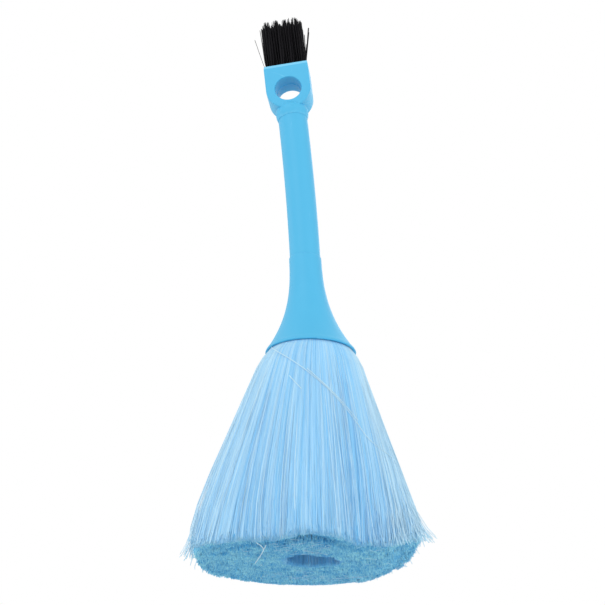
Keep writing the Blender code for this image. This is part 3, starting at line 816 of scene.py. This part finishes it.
def loose_strands():
    """Loose strands and curled ends, each with the angle of the hank that it belongs to."""
    made = []
    for line in LOOSE_STRANDS:
        angle, drop = softened(np.array(line), 4).T
        angle = np.radians(angle)
        x, y = skirt_place(drop + LOOSE_SINK, angle, skirt_outline(drop, angle) + LOOSE_PROUD)
        made.append((angle[0], single(np.stack([x, y, RIM_HEIGHT - drop], 1), LOOSE_RADIUS)))
    for (x, y), (next_x, next_y) in CROSSING_STRANDS:
        middle = ((x + next_x) / 2 + CROSSING_BOW[0], (y + next_y) / 2, CROSSING_BOW[1])
        line = softened(np.array(((x, y, CROSSING_HEIGHT), middle, (next_x, next_y, CROSSING_HEIGHT))))
        made.append((np.arctan2(y, x), single(line, LOOSE_RADIUS, LEVEL)))
    rng = np.random.default_rng(23)
    for number in range(LOOP_COUNT):
        start, end, nearest, farthest, longest = LOOP_FIELDS[number % len(LOOP_FIELDS)]
        angle, radius = radians(rng.uniform(start, end)), rng.uniform(nearest, farthest)
        turn = rng.uniform(0, 2 * pi) + rng.uniform(0.8, 2.6) * np.linspace(0, 1, LOOP_STEPS)
        size, flat = rng.uniform(LOOP_SMALLEST, longest), rng.uniform(0.35, 0.8)
        x = radius * cos(angle) + size * np.cos(turn)
        y = radius * sin(angle) + size * flat * np.sin(turn)
        z = rng.uniform(*LOOP_HEIGHTS) + LOOP_HEIGHTS[0] * np.sin(2 * turn)
        made.append((angle, single(np.stack([x, y, z], 1), LOOP_RADIUS, LEVEL, rng.uniform(0.5, 0.85))))
    return made


def hank_of(angle):
    """Number of the hank that an angle belongs to. The first one lies round the X axis."""
    return np.round(angle / (2 * pi / HANK_COUNT)).astype(int) % HANK_COUNT


OUTER_DEPTH = 0.00045
HOLLOW_DEPTH = 0.0004
OUTER_UNLIKE = 0.14         # how unlike in colour neighbours are
HOLLOW_UNLIKE = 0.15
END_UNLIKE = 0.38
END_SHARES = (0.035, 0.985)
LAYER_CROWDING = 0.4


def make_skirt():
    locks = Locks()
    rng = locks.rng
    turn, fill = spread_evenly(OUTER_FILAMENTS)
    outer = filaments(locks, 2 * pi * turn + rng.normal(0, TURN_SCATTER, OUTER_FILAMENTS), np.ones(OUTER_FILAMENTS),
                      OUTER_DEPTH * fill, OUTER_UNLIKE)
    turn, fill = spread_evenly(HOLLOW_FILAMENTS)
    hollow = filaments(locks, 2 * pi * turn, np.zeros(HOLLOW_FILAMENTS), -HOLLOW_DEPTH * fill, HOLLOW_UNLIKE)
    turn, fill = spread_evenly(END_FILAMENTS)
    angle = 2 * pi * turn + rng.normal(0, END_SCATTER, END_FILAMENTS)
    share = foot_share(np.clip(fill + rng.normal(0, END_SCATTER, END_FILAMENTS), 0, 1))
    crowding = LAYER_CROWDING / (2 * pi * ROLLED_LAYERS)
    share -= crowding * np.sin(roll_phase(angle, share)) * (share < ROLLED_SHARE)
    ends = filaments(locks, angle, np.clip(share, *END_SHARES), np.zeros(END_FILAMENTS), END_UNLIKE)
    groups = ((outer, LONG_STATIONS, FILAMENT_RADIUS, LONG_TIPS),
              (hollow, LONG_STATIONS, FILAMENT_RADIUS, HOLLOW_TIPS), (ends, END_STATIONS, END_RADIUS, END_TIPS))
    loose = loose_strands()
    hanks = []
    for number in range(HANK_COUNT):
        parts = [packed_mass(number)]
        for group, stations, thickness, tips in groups:
            mine = hank_of(group["angle"]) == number
            own = {title: values[mine] for title, values in group.items()}
            parts.append(filament_rods(own, stations, thickness, tips))
        parts += [strand for angle, strand in loose if hank_of(angle) == number]
        hanks.append(filament_piece(f"skirt_filaments_{number + 1:02d}", parts))
    return hanks


def make_roots():
    """The fused root ends of the hanks: one wedge, modelled once and copied round."""
    bottom, top = BACKING_SETBACK, BACKING_SETBACK + BACKING_DEPTH
    outer, top_outer = (flare(height) - BELL_WALL - FIT_GAP for height in (bottom, top))
    inner = CORE_RADIUS + FIT_GAP
    wedge = drawn("fused_roots", [(inner, bottom), (outer, bottom), (top_outer, top), (inner, top), (inner, bottom)])
    bpy.ops.mesh.remove_doubles(threshold=MERGE)
    bpy.ops.mesh.edge_face_add()
    sweep = 2 * pi / HANK_COUNT - SLICE_GAP / outer
    spun(wedge, BACKING_STEPS, sweep)
    rounded(wedge, BACKING_ROUND, 2)
    placed(wedge, Matrix.Rotation(-sweep / 2, 4, "Z"))
    copies = [wedge]
    for number in range(1, HANK_COUNT):
        copy = wedge.copy()
        copy.data = wedge.data.copy()
        bpy.context.scene.collection.objects.link(copy)
        placed(copy, Matrix.Rotation(2 * pi * number / HANK_COUNT, 4, "Z"))
        copies.append(copy)
    only(wedge)
    for copy in copies:
        copy.select_set(True)
    bpy.ops.object.join()
    smoothed(wedge)
    leaned(wedge)
    placed(wedge, RIM_PLACE)
    return wedge


# Black tufts

TUFT_FILAMENTS = 170
TUFT_FILAMENT_RADIUS = 0.00016
TUFT_STATIONS = np.array((0.0, 0.16, 0.32, 0.62, 0.86, 1.0))
TUFT_THINNING = np.array((1, 1, 1, 1, 0.95, 0.6))
TUFT_OPEN_SHARE = 0.32      # where the filaments stop spreading, as a share of their length
TUFT_SINK = 0.0026
TUFT_CLUMPS = 15
TUFT_HALF_SPREAD = 0.00225
TUFT_RIGHT_SPREAD = 0.0017
TUFT_COLUMN_HEIGHTS = (0.0228, 0.0231, 0.0228, 0.0234)
TUFT_DIP = 0.0022
TUFT_UNEVEN = 0.0007
TUFT_DRIFT = 0.00025
TUFT_CLUMP_DRIFT = 0.0002
# Loose black hairs beside the tufts, in the head's own frame: tuft, then points of (x, y, above the top)
LOOSE_HAIRS = (
    (4, 0.00018, ((0.0078, -0.0030, -0.0020), (0.0086, -0.0032, 0.0024), (0.0092, -0.0032, 0.0138))),
    (4, 0.00030, ((0.0079, -0.0025, -0.0020), (0.0088, -0.0028, 0.0028), (0.01125, -0.0030, 0.0169))),
    (4, 0.00016, ((0.0079, -0.0028, -0.0020), (0.0090, -0.0030, 0.0030), (0.0112, -0.0034, 0.0144))),
    (4, 0.00012, ((0.0078, -0.0032, -0.0020), (0.0086, -0.0034, 0.0026), (0.0095, -0.0035, 0.0087))),
    (1, 0.00011, ((-0.0078, -0.0030, -0.0020), (-0.0089, -0.0032, 0.0012), (-0.0115, -0.0036, 0.0149))),
)


def in_head(points):
    """Points of the head's own frame, at their real places."""
    return points @ np.array(HEAD_PLACE.to_3x3()).T + np.array(HEAD_PLACE.translation)


def tuft_filaments(number, x, y):
    """Filaments that leave a round hole, fill their share of the block's top and end in small spikes."""
    rng = np.random.default_rng(300 + number)
    turn, fill = spread_evenly(TUFT_FILAMENTS)
    reach = np.sqrt(fill)
    column = (number - 1) % TUFT_COLUMNS
    way = np.stack([np.cos(2 * pi * turn), np.sin(2 * pi * turn)], 1)
    root = way * (reach * (TUFT_HOLE_RADIUS - 1.2 * TUFT_FILAMENT_RADIUS))[:, None]
    square = way / np.abs(way).max(1, keepdims=True)
    spread = (0.6 * square + 0.4 * way) * reach[:, None] * TUFT_HALF_SPREAD
    if column == TUFT_COLUMNS - 1:
        spread[:, 0] = np.minimum(spread[:, 0], TUFT_RIGHT_SPREAD)
    clumps = rng.uniform(-TUFT_HALF_SPREAD, TUFT_HALF_SPREAD, (TUFT_CLUMPS, 2))
    clump = ((spread[:, None] - clumps[None]) ** 2).sum(2).argmin(1)
    height = TUFT_COLUMN_HEIGHTS[column] - TUFT_DIP * (np.abs(spread[:, 0]) / TUFT_HALF_SPREAD) ** 1.5
    height += rng.normal(-0.0002, TUFT_UNEVEN, TUFT_CLUMPS)[clump] - rng.exponential(TUFT_UNEVEN, TUFT_FILAMENTS)
    opening = np.clip(TUFT_STATIONS / TUFT_OPEN_SHARE, 0, 1)[None, :, None]
    gather = (0.5 * np.clip((TUFT_STATIONS - 0.5) / 0.5, 0, 1) ** 1.5)[None, :, None]
    drift = rng.normal(0, TUFT_DRIFT, (TUFT_FILAMENTS, 2)) + rng.normal(0, TUFT_CLUMP_DRIFT, (TUFT_CLUMPS, 2))[clump]
    flat = root[:, None] + (spread - root)[:, None] * opening
    flat = flat + (clumps[clump] - spread)[:, None] * gather + drift[:, None] * (TUFT_STATIONS ** 1.5)[None, :, None]
    up = -TUFT_SINK + TUFT_STATIONS[None] * (height + TUFT_SINK)[:, None]
    paths = in_head(np.concatenate([flat + np.array((x, y)), up[..., None] + BLOCK_TOP], axis=2))
    tone = np.clip(rng.normal(0.4, 0.18, TUFT_FILAMENTS), 0, 1)
    radii = thicker_when_pale(TUFT_FILAMENT_RADIUS, tone) * TUFT_THINNING[None]
    return rods(paths, radii, tone, np.broadcast_to(TUFT_STATIONS[None] > 0.9, radii.shape).astype(float))


def make_tufts():
    tufts = []
    for number, (x, y) in enumerate(tuft_places(), start=1):
        parts = [tuft_filaments(number, x, y)]
        for owner, radius, points in LOOSE_HAIRS:
            if owner == number:
                parts.append(single(softened(in_head(np.array(points) + np.array((0, 0, BLOCK_TOP))), 2), radius))
        tufts.append(filament_piece(f"tuft_filaments_{number:02d}", parts))
    return tufts


# Finishes

def node(tree, kind, **values):
    made = tree.nodes.new(kind)
    for name, value in values.items():
        setattr(made, name, value)
    return made


def fed(made, index, value):
    """Link an input of a node to a socket, or set it to a value."""
    if isinstance(value, bpy.types.NodeSocket):
        made.id_data.links.new(value, made.inputs[index])
    else:
        made.inputs[index].default_value = value


def feed(made, **values):
    """The same for several inputs by their names."""
    for name, value in values.items():
        fed(made, name.replace("_", " "), value)


def group_tree(name, inputs, outputs):
    """A shader node group with the first values of its inputs, and the nodes at its two ends."""
    tree = bpy.data.node_groups.new(name, "ShaderNodeTree")
    for title, value in inputs.items():
        kind = "NodeSocketColor" if isinstance(value, tuple) else "NodeSocketFloat"
        tree.interface.new_socket(title, in_out="INPUT", socket_type=kind).default_value = value
    for title in outputs:
        kind = "NodeSocketColor" if title == "Color" else "NodeSocketFloat"
        tree.interface.new_socket(title, in_out="OUTPUT", socket_type=kind)
    return tree, tree.nodes.new("NodeGroupInput"), tree.nodes.new("NodeGroupOutput")


def placed_group(tree, group, **values):
    made = node(tree, "ShaderNodeGroup", node_tree=group)
    feed(made, **values)
    return made


def joined(tree, kind, given, **values):
    """A node that takes its first inputs in their order, and gives its first output."""
    made = node(tree, kind, **values)
    for index, value in enumerate(given):
        fed(made, index, value)
    return made.outputs[0]


def maths(tree, operation, *given):
    """A maths node on two values, each a socket or a number."""
    return joined(tree, "ShaderNodeMath", given, operation=operation)


def times(tree, *given):
    return maths(tree, "MULTIPLY", *given)


def blended(tree, share, first, second):
    """A colour mix. Share, first and second are sockets or values."""
    made = node(tree, "ShaderNodeMix", data_type="RGBA")
    for index, value in ((0, share), (6, first), (7, second)):
        fed(made, index, value)
    return made.outputs[2]


def noise(tree, scale, detail=2.0, roughness=0.5, stretch=None):
    """Noise on the piece's own coordinates, in cycles a metre."""
    place = node(tree, "ShaderNodeTexCoord").outputs["Object"]
    if stretch:
        mapping = node(tree, "ShaderNodeMapping")
        feed(mapping, Scale=stretch, Vector=place)
        place = mapping.outputs["Vector"]
    made = node(tree, "ShaderNodeTexNoise")
    feed(made, Scale=scale, Detail=detail, Roughness=roughness, Vector=place)
    return made.outputs["Fac"]


def ramp(tree, value, low, high):
    """0 below low, 1 above high, and a soft step between them."""
    made = node(tree, "ShaderNodeMapRange", interpolation_type="SMOOTHSTEP")
    feed(made, Value=value, From_Min=low, From_Max=high)
    return made.outputs["Result"]


def moulded_skin_group():
    """Moulded plastic's fine texture: a soft orange peel, flow clouds and a few faint scuffs."""
    tree, given, made = group_tree("moulded_skin", {"Peel Scale": 1400.0, "Cloud Scale": 60.0},
                                   ("Height", "Cloud", "Scuff"))
    peel = noise(tree, given.outputs["Peel Scale"], detail=3.0)
    cloud = noise(tree, given.outputs["Cloud Scale"], detail=3.0, roughness=0.55)
    long_marks = noise(tree, 260.0, detail=4.0, roughness=0.6, stretch=(4.0, 4.0, 0.25))
    scuff = times(tree, ramp(tree, long_marks, 0.62, 0.72), ramp(tree, noise(tree, 90.0), 0.5, 0.68))
    feed(made, Height=maths(tree, "SUBTRACT", peel, times(tree, scuff, 0.5)), Cloud=cloud, Scuff=scuff)
    return tree


def edge_wear_group():
    """Where edges are rubbed: sharp places, broken up by noise."""
    tree, given, made = group_tree("edge_wear", {"Start": 0.52, "End": 0.6}, ("Wear",))
    pointiness = node(tree, "ShaderNodeNewGeometry").outputs["Pointiness"]
    sharp = ramp(tree, pointiness, given.outputs["Start"], given.outputs["End"])
    feed(made, Wear=times(tree, sharp, ramp(tree, noise(tree, 700.0, detail=3.0), 0.36, 0.62)))
    return tree


def strand_colour_group():
    """Colour of a filament: its own tone and its lock's, a slow change over the skirt, and its mottled cut end,
    painted deeper and more saturated as shade.
    """
    tree, given, made = group_tree(
        "strand_colour",
        {"Deep": (0.2, 0.5, 0.8, 1), "Pale": (0.5, 0.8, 1, 1), "Tip Deep": (0.2, 0.5, 0.7, 1),
         "Tip Pale": (0.6, 0.8, 0.9, 1), "Mottle Scale": 500.0},
        ("Color", "Roughness", "Height"))
    tone, tip = (node(tree, "ShaderNodeAttribute", attribute_name=name).outputs["Fac"] for name in ("tone", "tip"))
    patch = noise(tree, 90.0, stretch=(1.0, 1.0, 0.16))
    share = maths(tree, "ADD", tone, times(tree, maths(tree, "SUBTRACT", patch, 0.5), 0.06))
    colour = blended(tree, share, given.outputs["Deep"], given.outputs["Pale"])
    mottle = ramp(tree, noise(tree, given.outputs["Mottle Scale"], detail=3.0, roughness=0.65), 0.38, 0.66)
    rolls = ramp(tree, noise(tree, 170.0), 0.36, 0.64)
    mottle = maths(tree, "ADD", times(tree, mottle, 0.3), times(tree, rolls, 0.25))
    frayed = maths(tree, "ADD", mottle, times(tree, tone, 0.55))
    # Painted shade: the cut ends take deeper, more saturated colours, as the cut face lies in shade
    shaded_cut_end = blended(tree, frayed, given.outputs["Tip Deep"], given.outputs["Tip Pale"])
    feed(made, Color=blended(tree, tip, colour, shaded_cut_end), Roughness=maths(tree, "ADD", 0.5, times(tree, patch, 0.2)),
         Height=noise(tree, 2600.0, detail=1.0, stretch=(1.0, 1.0, 0.05)))
    return tree


def new_finish(name):
    material = bpy.data.materials.new(name)
    material.use_nodes = True
    tree = material.node_tree
    tree.nodes.clear()
    shader = node(tree, "ShaderNodeBsdfPrincipled")
    feed(node(tree, "ShaderNodeOutputMaterial"), Surface=shader.outputs["BSDF"])
    return material, tree, shader


def bump(tree, shader, height, distance, strength=1.0):
    made = node(tree, "ShaderNodeBump")
    feed(made, Distance=distance, Strength=strength, Height=height)
    feed(shader, Normal=made.outputs["Normal"])


def clouded(name, skin, scales, colours, roughness, **bumps):
    """A finish whose colour and roughness change with the clouds in its skin."""
    material, tree, shader = new_finish(name)
    detail = placed_group(tree, skin, Peel_Scale=scales[0], Cloud_Scale=scales[1])
    cloud = detail.outputs["Cloud"]
    feed(shader, Base_Color=blended(tree, cloud, *colours),
         Roughness=maths(tree, "ADD", roughness[0], times(tree, cloud, roughness[1])))
    bump(tree, shader, detail.outputs["Height"], **bumps)
    return material, tree, shader, detail


def source(shader, title):
    """The socket that an input of the shader reads so far."""
    return shader.inputs[title].links[0].from_socket


def overlaid(tree, shader, mask, strength, colour):
    """Lay a colour over the shader's own where the mask says."""
    feed(shader, Base_Color=blended(tree, times(tree, mask, strength), source(shader, "Base Color"), colour))


BLUE_PLASTIC = ((0.072, 0.425, 0.695, 1), (0.086, 0.455, 0.720, 1))
SCUFFED_BLUE = (0.26, 0.64, 0.88, 1)
# Paler blue of rubbed edges, also used as the painted highlight along the head's top edge
RUBBED_AND_HIGHLIGHT_BLUE = (0.26, 0.66, 0.90, 1)
FUSED_BLUE = ((0.10, 0.36, 0.62, 1), (0.30, 0.62, 0.88, 1))
GLUE = ((0.60, 0.54, 0.38, 1), (0.76, 0.72, 0.60, 1))
WIRE = ((0.50, 0.49, 0.46, 1), (0.66, 0.65, 0.62, 1))
RUBBED_WIRE = (0.8, 0.79, 0.77, 1)
# For the blue filament the tip colours are painted shade of the cut face
BLUE_FILAMENT = dict(Deep=(0.19, 0.585, 0.95, 1), Pale=(0.64, 0.86, 0.98, 1), Tip_Deep=(0.03, 0.37, 0.76, 1),
                     Tip_Pale=(0.40, 0.86, 1.0, 1), Mottle_Scale=800.0)
BLACK_FILAMENT = dict(Deep=(0.0035, 0.0033, 0.0045, 1), Pale=(0.012, 0.011, 0.014, 1),
                      Tip_Deep=(0.004, 0.004, 0.005, 1), Tip_Pale=(0.016, 0.016, 0.018, 1), Mottle_Scale=900.0)
HIGHLIGHT_BAND_BLUR = (-0.0001, 0.0002)       # below and above the edge of the head's painted highlight band


def highlight_band_mask(tree):
    """Mask of the painted highlight: 1 on the head's chamfered top edge and 0 below it."""
    axis = HEAD_PLACE.to_3x3() @ Vector((0, 0, 1))
    along = node(tree, "ShaderNodeVectorMath", operation="DOT_PRODUCT")
    fed(along, 0, node(tree, "ShaderNodeTexCoord").outputs["Object"])
    fed(along, 1, axis)
    start = HEAD_PLACE.translation.dot(axis) + BLOCK_TOP - BLOCK_BAND
    return ramp(tree, along.outputs["Value"], start + HIGHLIGHT_BAND_BLUR[0], start + HIGHLIGHT_BAND_BLUR[1])


def moulded_blue(name, skin, wear, painted_highlight=False):
    material, tree, shader, detail = clouded(name, skin, (1500.0, 70.0), BLUE_PLASTIC, (0.38, 0.12),
                                             distance=0.000012, strength=0.6)
    scuff = detail.outputs["Scuff"]
    overlaid(tree, shader, scuff, 0.35, SCUFFED_BLUE)
    overlaid(tree, shader, placed_group(tree, wear, Start=0.53, End=0.62).outputs["Wear"], 0.4, RUBBED_AND_HIGHLIGHT_BLUE)
    if painted_highlight:
        # Painted highlight: the head's chamfered top edge is coloured paler, as if it caught light from above
        overlaid(tree, shader, highlight_band_mask(tree), 0.55, RUBBED_AND_HIGHLIGHT_BLUE)
    rough = maths(tree, "ADD", source(shader, "Roughness"), times(tree, scuff, 0.2))
    feed(shader, Roughness=rough, Specular_IOR_Level=0.22)
    return material


def filament_finish(name, strand, colours, specular):
    material, tree, shader = new_finish(name)
    made = placed_group(tree, strand, **colours).outputs
    feed(shader, Base_Color=made["Color"], Roughness=made["Roughness"], Specular_IOR_Level=specular)
    bump(tree, shader, made["Height"], 0.00001, 0.4)
    return material


def drawn_wire(skin, wear):
    material, tree, shader, _ = clouded("drawn_wire", skin, (4000.0, 900.0), WIRE, (0.25, 0.2), distance=0.00001)
    overlaid(tree, shader, placed_group(tree, wear, Start=0.52, End=0.6).outputs["Wear"], 0.5, RUBBED_WIRE)
    feed(shader, Metallic=1.0)
    return material


def finished(piece, material):
    piece.data.materials.clear()
    piece.data.materials.append(material)


# Floor, light and camera

FLOOR_RADIUS = 1.0
FLOOR_DROP = 0.0001
FLOOR_WHITES = ((0.88, 0.88, 0.88, 1), (0.92, 0.92, 0.92, 1))
LIGHT_BELOW = 0.95
LIGHT_ABOVE = 0.70
# Name, place, size and power
LAMPS = (
    ("key_lamp", (-0.5, -1.15, 0.85), 1.1, 5.2),
    ("fill_lamp", (0.9, -0.9, 0.35), 1.2, 4.0),
    ("left_lamp", (-1.2, -0.1, 0.2), 1.0, 3.0),
    ("right_lamp", (1.2, 0.0, -0.1), 1.0, 2.0),
    ("back_lamp", (0.2, 1.2, 0.8), 1.2, 3.0),
)
AIM = Vector((0, 0, 0.11))
CAMERA_AZIMUTH = radians(7.274)
CAMERA_ELEVATION = radians(-22.993)
CAMERA_ROLL = radians(0.2086)
CAMERA_DISTANCE = 0.464182
CAMERA_SIDE = -0.0031251
CAMERA_TARGET = Vector((0, 0, 0.098109))
CAMERA_LENS = 73.011
CAMERA_RANGE = (0.01, 20)
SENSOR = 36.0


def make_floor():
    """A white floor that lets the view from below through."""
    nothing_selected()
    bpy.ops.mesh.primitive_circle_add(vertices=TURN_STEPS, radius=FLOOR_RADIUS, fill_type="NGON",
                                      location=(0, 0, -FLOOR_DROP))
    floor = bpy.context.object
    floor.name = "studio_floor"
    material, tree, shader = new_finish("floor_white")
    feed(shader, Base_Color=blended(tree, noise(tree, 3.0), *FLOOR_WHITES), Roughness=0.8, Specular_IOR_Level=0.2)
    output = next(item for item in tree.nodes if item.type == "OUTPUT_MATERIAL")
    feed(output, Surface=joined(tree, "ShaderNodeMixShader", (
        node(tree, "ShaderNodeNewGeometry").outputs["Backfacing"], shader.outputs["BSDF"],
        node(tree, "ShaderNodeBsdfTransparent").outputs["BSDF"])))
    finished(floor, material)
    floor.visible_diffuse = floor.visible_glossy = floor.visible_shadow = False


def make_world():
    """Soft light that is brighter from below than from above, and white where it is seen or reflected."""
    world = bpy.data.worlds.new("studio_world")
    bpy.context.scene.world = world
    world.use_nodes = True
    tree = world.node_tree
    tree.nodes.clear()
    path = node(tree, "ShaderNodeLightPath")
    seen = maths(tree, "MAXIMUM", path.outputs["Is Camera Ray"],
                 maths(tree, "MAXIMUM", path.outputs["Is Glossy Ray"], path.outputs["Is Transmission Ray"]))
    height = node(tree, "ShaderNodeSeparateXYZ")
    fed(height, 0, node(tree, "ShaderNodeTexCoord").outputs["Generated"])
    strength = node(tree, "ShaderNodeMapRange")
    feed(strength, Value=height.outputs["Z"], From_Min=-1.0, From_Max=1.0, To_Min=LIGHT_BELOW, To_Max=LIGHT_ABOVE)
    light, white = (node(tree, "ShaderNodeBackground") for _ in range(2))
    feed(light, Color=(1, 1, 1, 1), Strength=strength.outputs["Result"])
    feed(white, Color=(1, 1, 1, 1))
    choice = joined(tree, "ShaderNodeMixShader", (seen, light.outputs[0], white.outputs[0]))
    feed(node(tree, "ShaderNodeOutputWorld"), Surface=choice)


def make_lamps():
    for name, place, size, power in LAMPS:
        data = bpy.data.lights.new(name, "AREA")
        data.shape = "DISK"
        data.size = size
        data.energy = power
        lamp = shown(name, data)
        lamp.location = place
        lamp.rotation_euler = (AIM - Vector(place)).to_track_quat("-Z", "Y").to_euler()


def make_camera():
    """The photograph's view: from a little to the right and well below, so that the cut foot shows."""
    turn, rise = CAMERA_AZIMUTH, CAMERA_ELEVATION
    back = Vector((sin(turn) * cos(rise), -cos(turn) * cos(rise), sin(rise)))
    right = Vector((cos(turn), sin(turn), 0))
    up = back.cross(right)
    tilted_right = cos(CAMERA_ROLL) * right + sin(CAMERA_ROLL) * up
    tilted_up = cos(CAMERA_ROLL) * up - sin(CAMERA_ROLL) * right
    data = bpy.data.cameras.new("photo_camera")
    data.sensor_width = SENSOR
    data.lens = CAMERA_LENS
    data.clip_start, data.clip_end = CAMERA_RANGE
    camera = shown("photo_camera", data)
    axes = Matrix((tilted_right, tilted_up, back)).transposed().to_4x4()
    camera.matrix_world = Matrix.Translation(CAMERA_TARGET + back * CAMERA_DISTANCE + right * CAMERA_SIDE) @ axes
    bpy.context.scene.camera = camera


def dressed(piece, material, replaced=None):
    """Give a piece its finish and its body, and hide the node that it stands for."""
    finished(piece, material)
    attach(piece, "root")
    if replaced:
        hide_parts(replaced)


def main():
    bpy.context.scene.view_settings.view_transform = "Standard"
    skin, wear, strand = moulded_skin_group(), edge_wear_group(), strand_colour_group()
    plastic = moulded_blue("moulded_blue", skin, wear)
    dressed(make_tube(), plastic, "handle_tube")
    dressed(make_bell(), plastic, "bell")
    # The head's finish is a copy of the blue with a painted highlight on its top edge
    dressed(make_head(), moulded_blue("moulded_blue_head_highlight", skin, wear, painted_highlight=True), "head_block")
    blue = filament_finish("soft_blue_filament", strand, BLUE_FILAMENT, 0.2)
    for number, piece in enumerate(make_skirt(), start=1):
        dressed(piece, blue, f"skirt_hank_{number:02d}")
    fused = clouded("fused_blue", skin, (900.0, 420.0), FUSED_BLUE, (0.3, 0.3), distance=0.0001)[0]
    dressed(make_roots(), fused)
    black = filament_finish("black_filament", strand, BLACK_FILAMENT, 0.12)
    for number, piece in enumerate(make_tufts(), start=1):
        dressed(piece, black, f"tuft_{number:02d}")
    glue = clouded("set_glue", skin, (320.0, 180.0), GLUE, (0.22, 0.25), distance=0.0002)[0]
    wire = drawn_wire(skin, wear)
    for name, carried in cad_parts.items():
        if name == "glue_core":
            finished(carried, glue)
        elif name.startswith("tuft_anchor"):
            finished(carried, wire)
    make_floor()
    make_world()
    make_lamps()
    make_camera()


main()
